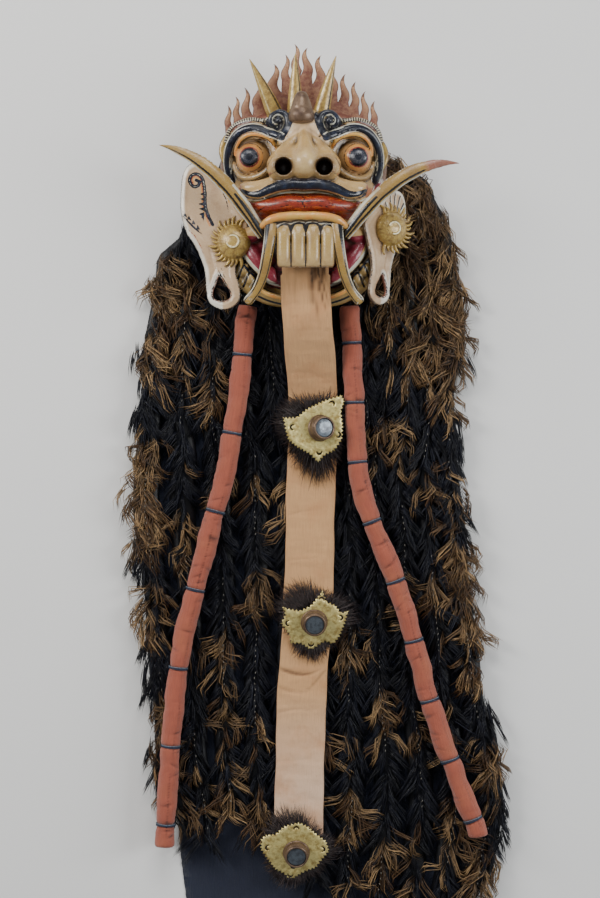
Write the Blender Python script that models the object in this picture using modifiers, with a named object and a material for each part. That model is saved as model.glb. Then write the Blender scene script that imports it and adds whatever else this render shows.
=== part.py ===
"""A carved ceremonial dance mask with a long tongue, laid on its back with its hair spread out.

+X is the viewer's right, +Y points to the crown and +Z points up, out of the face.
The origin is on the underside of the cloth backing, straight below the point midway
between the eyes. All sizes are in metres.
"""

import math

import bmesh
import bpy
from mathutils import Matrix, Vector

JOINT_GAP = 0.0004  # left between two pieces that touch

# The cloth backing and the locks of hair sewn on it
BACKING_THICKNESS = 0.003
BACKING_INSET = 0.014  # how far the cloth stays inside the hair's edge
HAIR_TOP_Y = 0.045
HAIR_FOOT_Y = -1.030
LOCK_HEIGHT = 0.024
LOCK_GAP = 0.0012
TUFT_SHARE = 0.72  # how high a lock is between two tufts, as a share of its height
LOCKS_LEFT = 5
LOCKS_RIGHT = 6
PARTING_WIDTH = 0.064
PARTING_HEAD_Y = -0.110
PARTING_FOOT_Y = -0.400
PARTING_CLOSE = 0.060  # the length over which the parting closes again
LOCK_SECTIONS = 13
LOCK_SIDES = 6
# Each pair is how far down the hair is, and how far its edge is from the middle line there
LEFT_EDGE = [(0.045, 0.085), (-0.020, 0.125), (-0.085, 0.170), (-0.125, 0.205), (-0.270, 0.225),
             (-0.450, 0.239), (-0.610, 0.221), (-0.770, 0.208), (-0.900, 0.183), (-1.030, 0.172)]
RIGHT_EDGE = [(0.045, 0.095), (-0.030, 0.180), (-0.085, 0.204), (-0.220, 0.224), (-0.310, 0.208),
              (-0.380, 0.213), (-0.530, 0.228), (-0.700, 0.247), (-0.790, 0.271), (-0.860, 0.278),
              (-0.940, 0.262), (-1.030, 0.238)]
# How far short of the foot each lock ends, from the left to the right
LOCK_SHORT = [0.135, 0.115, 0.150, 0.130, 0.095, 0.060, 0.045, 0.030, 0.015, 0.000, 0.020]

# The carved face. Its carving is laid out on a grid of face units
FACE_HEIGHT = 0.254
UNITS_TALL = 254.0
SOCKET_GAP = 0.0004  # round whatever is let into the wood
SCULPT_VOXEL = 0.0032
SCULPT_SHARE = 0.052  # of the sculpt's faces that the carved solid keeps
TEETH = 4
# Of the carving, in face units
EYE_RADIUS = 24.0
EYE_SPREAD = 134.0  # between the two eyes' middles
NOSTRIL_RADIUS = 11.2
TOOTH_WIDTH = 19.3
TOOTH_LENGTH = 54.0
FANG_ASIDE = 6.5  # how far outside the mouth's edge a fang's root is
TUSK_ASIDE = 15.5

# Pieces let into the face
CREST_THICKNESS = 0.003
CREST_HEIGHT = 0.161  # from between the eyes to the tip of the tallest flame
CREST_FLAMES = 14
HORN_LENGTH = 0.078
HORN_RADIUS = 0.011
KNOB_RADIUS = 0.0165
KNOB_LENGTH = 0.042
TUSK_LENGTH = 0.186
TUSK_WIDTH = 0.021
TUSK_THICKNESS = 0.013
FANG_WIDTH = 0.014
EAR_THICKNESS = 0.005
BOSS_RADIUS = 0.022
BOSS_HEIGHT = 0.014
BOSS_FLAMES = 9
FLAME_LENGTH = 0.016
LEAF_LENGTH = 0.045
LEAF_WIDTH = 0.007
LEAF_THICKNESS = 0.0025

# The cloth tongue
TONGUE_WIDTH = 0.067
TONGUE_THICKNESS = 0.009
TONGUE_FOOT_Y = -0.925
TONGUE_DROP = 0.130  # the length over which it comes down from the lip to the hair
MOUTH_CLEARANCE = 0.004  # beside the tongue, in the mouth

# The three mirror medallions on the tongue, with the middle of each one's plate
UPPER_SPOT = (0.016, -0.352)
MIDDLE_SPOT = (0.014, -0.612)
LOWER_SPOT = (-0.010, -0.921)
TUBE_CLEARANCE = 0.002  # between the upper plate and the tube that it passes over
PLATE_RADIUS = 0.038
PLATE_THICKNESS = 0.0014
PLATE_TEETH = 20
PLATE_HOLE = 0.0042
BEZEL_RADIUS = 0.0165
BEZEL_HEIGHT = 0.015
MIRROR_RADIUS = 0.0125
MIRROR_THICKNESS = 0.0022
RUFF_HEIGHT = 0.011  # the fur between the tongue and a plate's middle
RUFF_CLEARANCE = 0.0015  # over the tongue, whose slope it spans

# The two stuffed cloth tubes and their ties
TUBE_DIAMETER = 0.028
TUBE_SIDES = 7
TIE_DIAMETER = 0.0024
TIES_LEFT = 7
TIES_RIGHT = 9
LEFT_TUBE_FOOT_Y = -0.914
RIGHT_TUBE_FOOT_Y = -0.900

UNIT = FACE_HEIGHT / UNITS_TALL
HALF_MOUTH = (TONGUE_WIDTH / 2 + MOUTH_CLEARANCE) / UNIT  # in face units
HAIR_TOP = BACKING_THICKNESS + JOINT_GAP + LOCK_HEIGHT
MASK_Z = HAIR_TOP + JOINT_GAP

COLOURS = {
    "painted_wood": ((0.74, 0.62, 0.42), 0.32, 0.0),
    "gilt_leather": ((0.62, 0.47, 0.20), 0.38, 0.5),
    "crest_leather": ((0.42, 0.21, 0.18), 0.60, 0.0),
    "ear_leather": ((0.83, 0.74, 0.62), 0.40, 0.0),
    "bronze": ((0.38, 0.29, 0.22), 0.40, 0.6),
    "brass": ((0.72, 0.62, 0.28), 0.34, 0.9),
    "mirror_glass": ((0.35, 0.38, 0.42), 0.08, 0.9),
    "tongue_cloth": ((0.78, 0.55, 0.39), 0.85, 0.0),
    "tube_cloth": ((0.66, 0.27, 0.20), 0.85, 0.0),
    "tie_thread": ((0.05, 0.07, 0.13), 0.80, 0.0),
    "hair": ((0.06, 0.05, 0.05), 0.75, 0.0),
    "backing_cloth": ((0.03, 0.04, 0.08), 0.90, 0.0),
}


def clear_scene():
    for obj in list(bpy.data.objects):
        bpy.data.objects.remove(obj, do_unlink=True)


def new_collection(name):
    collection = bpy.data.collections.new(name)
    bpy.context.scene.collection.children.link(collection)
    return collection


def material(name):
    """The Principled material of that name, made the first time it is asked for."""
    found = bpy.data.materials.get(name)
    if found:
        return found
    colour, roughness, metallic = COLOURS[name]
    made = bpy.data.materials.new(name)
    made.use_nodes = True
    shader = made.node_tree.nodes["Principled BSDF"]
    shader.inputs["Base Color"].default_value = (*colour, 1.0)
    shader.inputs["Roughness"].default_value = roughness
    shader.inputs["Metallic"].default_value = metallic
    made.diffuse_color = (*colour, 1.0)
    return made


# Every piece and every cutter goes in one of these two collections
clear_scene()
PIECES = new_collection("dance_mask")
CUTTERS = new_collection("cutters")


def add_mesh(name, mesh, collection=None, material_name=None, smooth=True):
    """An object holding this mesh, put in a collection. A cutter isn't rendered."""
    obj = bpy.data.objects.new(name, mesh)
    (collection or PIECES).objects.link(obj)
    if material_name:
        mesh.materials.append(material(material_name))
    if collection is CUTTERS:
        obj.hide_render = True
        obj.display_type = "WIRE"
    elif smooth:
        mesh.shade_smooth()
        mesh.set_sharp_from_angle(angle=math.radians(40))
    return obj


def mesh_from(name, bm):
    """A closed mesh from this bmesh, with its faces pointing out."""
    bmesh.ops.recalc_face_normals(bm, faces=bm.faces)
    mesh = bpy.data.meshes.new(name)
    bm.to_mesh(mesh)
    bm.free()
    return mesh


def baked(obj):
    """The object's evaluated mesh, in world space, with curve caps welded."""
    bpy.context.view_layer.update()
    graph = bpy.context.evaluated_depsgraph_get()
    mesh = bpy.data.meshes.new_from_object(obj.evaluated_get(graph))
    mesh.transform(obj.matrix_world)
    bm = bmesh.new()
    bm.from_mesh(mesh)
    bmesh.ops.remove_doubles(bm, verts=bm.verts, dist=0.00001)
    bm.to_mesh(mesh)
    bm.free()
    return mesh


def grown(obj, by):
    """A cutter: a copy of this piece that is larger by a clearance all round."""
    mesh = baked(obj)
    bm = bmesh.new()
    bm.from_mesh(mesh)
    bm.normal_update()
    moves = [vert.normal * by for vert in bm.verts]
    for vert, move in zip(bm.verts, moves):
        vert.co += move
    bm.to_mesh(mesh)
    bm.free()
    return add_mesh(obj.name + "_socket", mesh, CUTTERS)


def cut(obj, cutter):
    """Takes the cutter's shape out of the object."""
    modifier = obj.modifiers.new("cut_" + cutter.name, "BOOLEAN")
    modifier.operation = "DIFFERENCE"
    modifier.solver = "EXACT"
    modifier.object = cutter


def through(points, count):
    """Points on the smooth curve through these ones, evenly spread over their spans."""
    points = [Vector(p) for p in points]
    ends = [2 * points[0] - points[1], *points, 2 * points[-1] - points[-2]]
    out = []
    for i in range(count):
        t = i / (count - 1) * (len(points) - 1)
        k = min(int(t), len(points) - 2)
        t -= k
        a, b, c, d = ends[k:k + 4]
        out.append(0.5 * (2 * b + (c - a) * t + (2 * a - 5 * b + 4 * c - d) * t ** 2
                          + (3 * b - a - 3 * c + d) * t ** 3))
    return out


def along(table, y):
    """The value that a table of (y, value) pairs, from the top down, gives at y."""
    if y >= table[0][0]:
        return table[0][1]
    for (y0, v0), (y1, v1) in zip(table, table[1:]):
        if y >= y1:
            t = (y0 - y) / (y0 - y1)
            return v0 + (v1 - v0) * t * t * (3 - 2 * t)
    return table[-1][1]


def loft(name, rings, material_name, collection=None):
    """A solid skinned over rings of as many points each, and closed at both ends."""
    bm = bmesh.new()
    rows = [[bm.verts.new(p) for p in ring] for ring in rings]
    for lower, upper in zip(rows, rows[1:]):
        for i in range(len(lower)):
            j = (i + 1) % len(lower)
            bm.faces.new((lower[i], lower[j], upper[j], upper[i]))
    bm.faces.new(rows[0][::-1])
    bm.faces.new(rows[-1])
    return add_mesh(name, mesh_from(name, bm), collection, material_name)


def section(centre, side, up, half_width, half_height, sides, power=2.0, turn=0.0):
    """A ring of points round the centre, on an ellipse that a power above 2 makes squarer."""
    ring = []
    for i in range(sides):
        angle = math.tau * i / sides + turn
        c, s = math.cos(angle), math.sin(angle)
        ring.append(centre + side * half_width * math.copysign(abs(c) ** (2 / power), c)
                    + up * half_height * math.copysign(abs(s) ** (2 / power), s))
    return ring


def flat_solid(name, outline, thickness, material_name, holes=(), place=Matrix()):
    """A plate of that outline, with holes, whose middle plane is at the place given."""
    data = bpy.data.curves.new(name, "CURVE")
    data.dimensions = "2D"
    data.fill_mode = "BOTH"
    data.extrude = thickness / 2
    for loop in (outline, *holes):
        spline = data.splines.new("POLY")
        spline.points.add(len(loop) - 1)
        for point, (x, y) in zip(spline.points, loop):
            point.co = (x, y, 0, 1)
        spline.use_cyclic_u = True
    curve = bpy.data.objects.new(name + "_outline", data)
    PIECES.objects.link(curve)
    curve.matrix_world = place
    mesh = baked(curve)
    bpy.data.objects.remove(curve, do_unlink=True)
    return add_mesh(name, mesh, None, material_name, smooth=False)


def turned(name, profile, steps, place, material_name, collection=None):
    """A shape turned about +Z from (radius, height) pairs that run down its outer side."""
    bm = bmesh.new()
    verts = [bm.verts.new((r, 0, h)) for r, h in profile]
    for a, b in zip(verts, verts[1:]):
        bm.edges.new((a, b))
    mesh = bpy.data.meshes.new(name)
    bm.to_mesh(mesh)
    bm.free()
    obj = add_mesh(name, mesh, collection, material_name)
    screw = obj.modifiers.new("turn", "SCREW")
    screw.axis = "Z"
    screw.steps = steps
    screw.render_steps = steps
    screw.use_merge_vertices = True
    screw.merge_threshold = 0.00002
    screw.use_smooth_shade = True
    obj.matrix_world = place
    return obj


def blob(centre, radii, power=2.0, segments=20):
    """An ellipsoid in face units that a power above 2 makes squarer, as a mesh."""
    bm = bmesh.new()
    bmesh.ops.create_uvsphere(bm, u_segments=segments, v_segments=segments // 2, radius=1)
    for vert in bm.verts:
        size = sum(abs(c) ** power for c in vert.co) ** (1 / power)
        x, y, z = (c / size * r for c, r in zip(vert.co, radii))
        vert.co = on_face(centre[0] + x, centre[1] + y, centre[2] + z)
    return mesh_from("blob", bm)


def roll(points, radii, sides=8, count=14):
    """A rounded ridge in face units that follows these points, as a mesh."""
    data = bpy.data.curves.new("roll", "CURVE")
    data.dimensions = "3D"
    data.bevel_depth = 1.0
    data.bevel_resolution = (sides - 4) // 2
    data.use_fill_caps = True
    spline = data.splines.new("POLY")
    path = through(points, count)
    widths = through([(r, 0, 0) for r in radii], count)
    spline.points.add(count - 1)
    for point, place, width in zip(spline.points, path, widths):
        point.co = (*on_face(*place), 1)
        point.radius = width.x * UNIT
    curve = bpy.data.objects.new("roll", data)
    PIECES.objects.link(curve)
    mesh = baked(curve)
    bpy.data.objects.remove(curve, do_unlink=True)
    return mesh


def on_face(x, y, z):
    """A point given in face units, from between the eyes and up from the rim's plane."""
    return Vector((x * UNIT, y * UNIT, MASK_Z + z * UNIT))


def facing(point, axis, turn=0.0):
    """A placement at the point, with its +Z along the axis."""
    turned_by = Vector(axis).normalized().to_track_quat("Z", "Y").to_matrix().to_4x4()
    return Matrix.Translation(point) @ turned_by @ Matrix.Rotation(turn, 4, "Z")


# The carved face
def brow_points(side):
    """The raised brow, from beside the nose, over the eye and down its outer side."""
    return [(side * 22, 20, 84), (side * 31, 31, 80), (side * 44, 35, 76), (side * 58, 39, 72),
            (side * 72, 39, 68), (side * 86, 33, 62), (side * 96, 21, 54), (side * 100, 5, 48),
            (side * 99, -10, 46), (side * 94, -24, 46)]


def face_forms():
    """The rounded masses that the carved face is made of."""
    forms = [
        blob((0, -3, 0), (105, 79, 72), 2.8, 32),
        blob((0, -62, 0), (97, 66, 66), 2.8, 28),
        blob((0, -118, 0), (88, 71, 46), 2.8, 28),
        blob((0, -62, 52), (77, 33, 42), 3.0, 24),
        blob((0, -92, 76), (50, 24, 30), 3.0, 20),
        blob((0, 34, 72), (25, 24, 16), 2.4),
        roll([(0, 34, 84), (0, 16, 96), (0, -8, 104)], [8, 12, 17]),
        blob((0, -7, 98), (20, 22, 26)),
        blob((0, -27, 90), (36, 12, 15), 2.4),
        roll([(-54, -88, 96), (-50, -78, 103), (-30, -71, 107), (0, -70, 108),
              (30, -71, 107), (50, -78, 103), (54, -88, 96)], [6] * 7, count=18),
        roll([(-76, -46, 78), (-61, -52, 88), (-45, -44, 95), (-28, -36, 99), (0, -38, 100),
              (28, -36, 99), (45, -44, 95), (61, -52, 88), (76, -46, 78)],
             [4, 5, 6, 6, 6, 6, 6, 5, 4], count=22),
        roll([(-80, -110, 40), (-85, -136, 43), (-76, -160, 46), (-50, -179, 48), (0, -187, 50),
              (50, -179, 48), (76, -160, 46), (85, -136, 43), (80, -110, 40)],
             [8] * 9, count=24),
    ]
    for side in (-1, 1):
        forms += [
            blob((side * EYE_SPREAD / 2, 0, 60), (EYE_RADIUS,) * 3),
            blob((side * 29, -12, 92), (20, 18, 24)),
            blob((side * 57, -114, 44), (26, 32, 22), 2.4, 16),
            roll(brow_points(side), [5, 6, 6, 6, 6, 6, 6, 6, 5, 3], count=18),
            roll([(side * 27, 33, 82), (side * 36, 37, 82), (side * 44, 44, 78),
                  (side * 40, 53, 74), (side * 32, 50, 76)], [4, 4, 4, 4, 3], count=10),
            roll([(side * 30, -26, 96), (side * 48, -34, 96), (side * 64, -41, 90),
                  (side * 73, -40, 85)], [6, 7.5, 9.5, 8], count=10),
            roll([(side * 38, -20, 76), (side * 56, -29, 74), (side * 76, -27, 68),
                  (side * 92, -18, 56)], [4, 4, 4, 3], count=10),
            roll([(side * 88, -96, 40), (side * 74, -98, 60), (side * 58, -92, 80)],
                 [9, 9, 7], count=8),
        ]
        for x, y in ((72, -141), (65, -156), (53, -167)):
            forms.append(blob((side * x, y, 50), (6.5, 8, 12), 3.0, 12))
    for i in range(TEETH):
        x = 2.5 + (i - (TEETH - 1) / 2) * TOOTH_WIDTH
        forms.append(blob((x, -89 - TOOTH_LENGTH / 2, 97), (TOOTH_WIDTH * 0.51,
                          TOOTH_LENGTH * 0.53, 13), 3.4, 16))
    forms.append(blob((2.5, -80 - TOOTH_LENGTH, 95), (TOOTH_WIDTH * TEETH / 2, 8, 10), 6.0, 16))
    return forms


def sculpted(name, forms):
    """One solid from masses that overlap, as a carver would round them together."""
    bm = bmesh.new()
    for mesh in forms:
        bm.from_mesh(mesh)
        bpy.data.meshes.remove(mesh)
    obj = add_mesh(name, mesh_from(name, bm), None, "painted_wood")
    remesh = obj.modifiers.new("round", "REMESH")
    remesh.mode = "VOXEL"
    remesh.voxel_size = SCULPT_VOXEL
    remesh.use_smooth_shade = True
    decimate = obj.modifiers.new("thin", "DECIMATE")
    decimate.ratio = SCULPT_SHARE
    return obj


def hollow_cutters():
    """What is taken out of the sculpt: its flat back, the wearer's hollow and the mouth."""
    back = bmesh.new()
    bmesh.ops.create_cube(back, size=1.0)
    reach = FACE_HEIGHT * 2
    bmesh.ops.scale(back, vec=(reach, reach, reach), verts=back.verts)
    bmesh.ops.translate(back, vec=(0, 0, MASK_Z - reach / 2), verts=back.verts)
    meshes = {
        "flat_back": mesh_from("flat_back", back),
        "head_hollow": blob((0, -38, -6), (82, 84, 60), 2.5, 24),
        "jaw_hollow": blob((0, -112, -6), (62, 54, 30), 2.5, 20),
        "mouth": blob((0, -122, 65), (HALF_MOUTH, 50, 21), 4.0, 16),
    }
    cutters = [add_mesh(name, mesh, CUTTERS) for name, mesh in meshes.items()]
    for side in (-1, 1):
        bore = bmesh.new()
        bmesh.ops.create_cone(bore, cap_ends=True, segments=14,
                              radius1=NOSTRIL_RADIUS * 0.8 * UNIT,
                              radius2=NOSTRIL_RADIUS * UNIT, depth=40 * UNIT)
        bmesh.ops.translate(bore, vec=on_face(side * 27, -12, 112), verts=bore.verts)
        cutters.append(add_mesh("nostril", mesh_from("nostril", bore), CUTTERS))
    return cutters


# What is let into the face
def crest():
    """A fan of cut leather flames that stands behind the brow."""
    pitch = 200 / CREST_FLAMES
    outline = []
    for i in range(CREST_FLAMES):
        x = -104 + (i + 0.5) * pitch
        lean = 4.5 if x > -8 else -4.5
        fall = 0.104 * (x + 8) ** 1.42 if x > -8 else 0.66 * (-8 - x) ** 1.06
        tip = CREST_HEIGHT / UNIT - fall
        deep = 27 if abs(x) < 70 else 22
        outline += [(x - pitch * 0.46, tip - deep), (x - pitch * 0.34, tip - deep * 0.62),
                    (x - pitch * 0.30 + lean * 0.1, tip - deep * 0.30), (x + lean, tip),
                    (x + pitch * 0.26 + lean * 0.3, tip - deep * 0.32),
                    (x + pitch * 0.36, tip - deep * 0.66)]
    outline.append((104, 30))
    for i in range(9):
        angle = math.radians(12 + 156 * i / 8)
        c, s = math.cos(angle), math.sin(angle)
        outline.append((90 * math.copysign(abs(c) ** 0.75, c), -8 + 63 * abs(s) ** 0.75))
    outline.append((-104, 30))
    outline = [(x * UNIT, y * UNIT) for x, y in outline]
    return flat_solid("flame_crest", outline, CREST_THICKNESS, "crest_leather",
                      place=Matrix.Translation((0, 0, MASK_Z + 34 * UNIT)))


def horns():
    """Three gilt horns on the forehead, each a slender cone with its root in the wood."""
    made = []
    for name, foot, aim in (("horn_left", (-38, 64, 50), (-0.38, 0.90, 0.18)),
                            ("horn_middle", (-11, 66, 51), (-0.02, 0.96, 0.14)),
                            ("horn_right", (23, 64, 50), (0.20, 0.95, 0.18))):
        root = on_face(*foot)
        aim = Vector(aim).normalized()
        root_depth = HORN_LENGTH * 0.14
        profile = [(0, HORN_LENGTH), (HORN_RADIUS * 0.30, HORN_LENGTH * 0.86),
                   (HORN_RADIUS * 0.72, HORN_LENGTH * 0.52), (HORN_RADIUS, HORN_LENGTH * 0.10),
                   (HORN_RADIUS * 0.9, -root_depth), (0, -root_depth)]
        made.append(turned(name, profile, 10, facing(root, aim), "gilt_leather"))
    return made


def knob():
    """The bell-shaped knob on the brow, in front of the middle horn."""
    r, h = KNOB_RADIUS, KNOB_LENGTH
    profile = [(0, h), (r * 0.38, h * 0.94), (r * 0.62, h * 0.74), (r * 0.86, h * 0.46),
               (r, h * 0.22), (r * 0.80, h * 0.03), (0, -h * 0.04)]
    place = facing(on_face(-3, 46, 88), (0, 0.97, 0.10))
    return turned("brow_knob", profile, 12, place, "bronze")


def tusk(side, rise, bend):
    """A long tusk that leaves the mouth's corner at a rise and bends outwards, in degrees."""
    steps = 11
    start = on_face(side * (HALF_MOUTH + TUSK_ASIDE), -101, 88)
    place = start.copy()
    rings = []
    for i in range(steps):
        t = i / (steps - 1)
        heading = math.radians(rise - bend * t * t)
        ahead = Vector((side * math.cos(heading), math.sin(heading), 0.26 - 0.42 * t)).normalized()
        across = Vector((0, 0, 1)).cross(ahead).normalized()
        width = TUSK_WIDTH / 2 * (0.72 + 1.25 * t - 1.9 * t * t) if t < 0.45 else (
            TUSK_WIDTH / 2 * (0.90 * (1 - ((t - 0.45) / 0.55) ** 1.7) + 0.04))
        thick = TUSK_THICKNESS / 2 * max(0.10, 1 - t ** 1.6)
        rings.append(section(place, across, ahead.cross(across), width, thick, 6, 1.6))
        place = place + ahead * TUSK_LENGTH / (steps - 1)
    return loft("tusk_right" if side > 0 else "tusk_left", rings, "gilt_leather")


def fang(side):
    """A fang that hangs from the upper gum and curls outwards over the lower lip."""
    root = HALF_MOUTH + FANG_ASIDE
    path = through([(side * (root + out), y, z) for out, y, z in (
        (0, -88, 98), (1, -112, 101), (5, -136, 99), (11, -157, 92), (20, -175, 84),
        (30, -187, 78))], 9)
    rings = []
    for i, point in enumerate(path):
        t = i / (len(path) - 1)
        ahead = (path[min(i + 1, 8)] - path[max(i - 1, 0)]).normalized()
        across = Vector((0, 0, 1)).cross(ahead).normalized()
        half = FANG_WIDTH / 2 * (1.0 - 0.28 * t - (0.35 if i == len(path) - 1 else 0))
        rings.append(section(on_face(*point), across, ahead.cross(across), half,
                             half * 0.72, 6, 2.4))
    return loft("fang_right" if side > 0 else "fang_left", rings, "gilt_leather")


# The ear's outline in face units, out from its root and up from the eyes' line
EAR_OUTLINE = [(-4, -66), (15, -38), (29, -14), (41, -3), (55, 0), (67, -4), (74, -16), (77, -40),
               (76, -68), (68, -95), (54, -118), (46, -138), (43, -158), (42, -176), (35, -190),
               (20, -196), (6, -191), (-3, -178), (-1, -162), (3, -146), (0, -126), (-8, -104),
               (-13, -84)]
EAR_HOLE = [(25, -153), (33, -172), (30, -182), (14, -181), (11, -175), (17, -164)]
EAR_ROOT = -84


def ear_place(side):
    """Where an ear's plate hinges on the head. The right ear is folded back."""
    fold = math.radians(8 if side < 0 else 50)
    height = 60 if side < 0 else 66
    return (Matrix.Translation(on_face(side * 87, 0, height))
            @ Matrix.Rotation(side * fold, 4, "Y"))


def ear(side):
    """A long leather ear whose lobe is pierced. The right one's upper lobe is shorter."""
    above = 1.0 if side < 0 else 0.60
    below = 1.0 if side < 0 else 0.94
    outline, hole = ([(side * x * UNIT, (EAR_ROOT + (y - EAR_ROOT) * (above if y > EAR_ROOT
                                                                      else below)) * UNIT)
                      for x, y in points] for points in (EAR_OUTLINE, EAR_HOLE))
    return flat_solid("ear_right" if side > 0 else "ear_left", outline, EAR_THICKNESS,
                      "ear_leather", [hole], ear_place(side))


def boss(side):
    """The gilt ear ornament: a dome with flames round its outer edge."""
    flames = []
    swing = 230 / BOSS_FLAMES
    for i in range(BOSS_FLAMES):
        start = math.radians(-115 + i * swing)
        for step, out in ((0.0, 0.0), (0.45, 0.55), (1.05, 1.0), (0.80, 0.35)):
            angle = start + math.radians(swing * step)
            reach = BOSS_RADIUS + FLAME_LENGTH * out
            flames.append((side * reach * math.cos(angle), reach * math.sin(angle)))
    for i in range(7):
        angle = math.radians(118 + 124 * i / 6)
        flames.append((side * BOSS_RADIUS * math.cos(angle), BOSS_RADIUS * math.sin(angle)))
    rim = 0.003
    middle = (4, -107) if side < 0 else (30, -88)
    seat = EAR_THICKNESS / 2 + JOINT_GAP
    place = ear_place(side) @ Matrix.Translation((side * middle[0] * UNIT, middle[1] * UNIT, seat))
    name = "ear_boss_right" if side > 0 else "ear_boss_left"
    disc = flat_solid(name, flames, rim, "gilt_leather",
                      place=place @ Matrix.Translation((0, 0, rim / 2)))
    r, h = BOSS_RADIUS * 0.94, BOSS_HEIGHT
    dome = turned(name + "_dome", [(0, h), (r * 0.30, h * 0.97), (r * 0.66, h * 0.70),
                                   (r, rim * 0.5), (r * 0.98, rim * 0.2), (0, rim * 0.2)], 14,
                  place, None, CUTTERS)
    join = disc.modifiers.new("dome", "BOOLEAN")
    join.operation = "UNION"
    join.object = dome
    return disc


def temple_leaf(side):
    """A thin gilt leaf that stands beside the eye's outer corner."""
    half, width = LEAF_LENGTH / 2, LEAF_WIDTH
    outline = []
    for i in range(7):
        t = -1 + i / 3
        outline.append((side * width * (0.35 * t * t - 0.65), t * half))
    for i in range(1, 6):
        t = 1 - i / 3
        outline.append((side * width * (1.0 - 1.3 * t * t), t * half))
    centre = on_face(side * 106, 17 if side < 0 else 10, 40)
    return flat_solid("temple_leaf_right" if side > 0 else "temple_leaf_left", outline,
                      LEAF_THICKNESS, "gilt_leather", place=Matrix.Translation(centre))


# The tongue, and what is fastened to it
TONGUE_LINE = [(0, 0.002), (-0.140, 0.002), (-0.200, 0.004), (-0.300, 0.012), (-0.350, 0.013),
               (-0.450, 0.009), (-0.530, 0.008), (-0.620, 0.004), (-0.700, -0.002),
               (-0.800, -0.005), (-0.925, -0.008)]


def tongue_height(y):
    """How high the tongue's middle is: out of the mouth, over the lip, then down on the hair."""
    low = HAIR_TOP + JOINT_GAP + TONGUE_THICKNESS / 2
    mouth = MASK_Z + 68 * UNIT
    return along([(-150 * UNIT, mouth), (-196 * UNIT, mouth - 4 * UNIT),
                  (-196 * UNIT - TONGUE_DROP, low)], y)


def tongue():
    """A long flat tongue of stuffed cloth."""
    start = -104 * UNIT
    count = 22
    rings = []
    for i in range(count):
        t = i / (count - 1)
        y = start + (TONGUE_FOOT_Y - start) * t
        ahead = Vector((0, -0.01, tongue_height(y - 0.005) - tongue_height(y + 0.005)))
        ahead.normalize()
        side = Vector((1, 0, 0))
        half = TONGUE_WIDTH / 2 * (0.90 if t < 0.1 else 1.0)
        centre = Vector((along(TONGUE_LINE, y), y, tongue_height(y)))
        rings.append(section(centre, side, ahead.cross(side), half, TONGUE_THICKNESS / 2,
                             8, 3.0, math.radians(22.5)))
    return loft("tongue", rings, "tongue_cloth")


def plate_outline(stretch):
    """A four-pointed plate with a sawtooth edge, as points round it."""
    outline = []
    for i in range(PLATE_TEETH * 2):
        angle = math.tau * i / (PLATE_TEETH * 2)
        lobe = 0.98 + 0.20 * abs(math.cos(2 * angle)) ** 1.5
        saw = 1.0 if i % 2 else 0.93
        reach = PLATE_RADIUS * lobe * saw
        outline.append((reach * math.cos(angle) * stretch, reach * math.sin(angle)))
    return outline


def plate_holes(stretch):
    """Four pierced crescents, one towards each point of the plate."""
    holes = []
    for k in range(4):
        turn = math.tau * k / 4
        middle = Vector((math.cos(turn) * stretch, math.sin(turn))) * PLATE_RADIUS * 0.80
        holes.append([(middle.x + PLATE_HOLE * reach * math.cos(a + turn),
                       middle.y + PLATE_HOLE * reach * math.sin(a + turn))
                      for a, reach in ((-1.9, 0.9), (-1.0, 1.0), (0, 1.0), (1.0, 1.0), (1.9, 0.9),
                                       (0, 0.35))])
    return holes


def medallions():
    """Three pierced brass plates, each on a ruff of fur, with a mirror in a turned bezel."""
    above_tube = TUBE_DIAMETER - TONGUE_THICKNESS / 2 + TUBE_CLEARANCE
    low = TONGUE_THICKNESS / 2 + RUFF_HEIGHT
    spots = (("upper", UPPER_SPOT, (0.12, 0.02, 1.0), 12, 0.98, above_tube),
             ("middle", MIDDLE_SPOT, (0.06, -0.22, 1.0), 70, 1.0, low),
             ("lower", LOWER_SPOT, (0.02, -0.26, 1.0), 35, 1.06, low))
    for name, (x, y), aim, turn, stretch, lift in spots:
        ground = tongue_height(y)
        place = facing(Vector((x, y, ground + lift)), aim, math.radians(turn))
        flat_solid("medallion_plate_" + name, plate_outline(stretch), PLATE_THICKNESS, "brass",
                   plate_holes(stretch), place)
        seat = PLATE_THICKNESS / 2 + JOINT_GAP
        step = BEZEL_HEIGHT - MIRROR_THICKNESS - JOINT_GAP
        inner = MIRROR_RADIUS + JOINT_GAP
        turned("medallion_bezel_" + name,
               [(inner, BEZEL_HEIGHT), (BEZEL_RADIUS * 0.90, BEZEL_HEIGHT),
                (BEZEL_RADIUS, BEZEL_HEIGHT * 0.80), (BEZEL_RADIUS, 0), (0, 0), (0, step),
                (inner, step), (inner, BEZEL_HEIGHT)], 14,
               place @ Matrix.Translation((0, 0, seat)), "bronze")
        mirror = [(0, MIRROR_THICKNESS), (MIRROR_RADIUS, MIRROR_THICKNESS), (MIRROR_RADIUS, 0),
                  (0, 0)]
        turned("medallion_mirror_" + name, mirror, 14,
               place @ Matrix.Translation((0, 0, seat + step + JOINT_GAP)), "mirror_glass")
        highest = max(tongue_height(y + PLATE_RADIUS * 1.1 * k / 4) for k in range(-4, 5))
        fur_ruff(name, place, highest + TONGUE_THICKNESS / 2 + RUFF_CLEARANCE)


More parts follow.
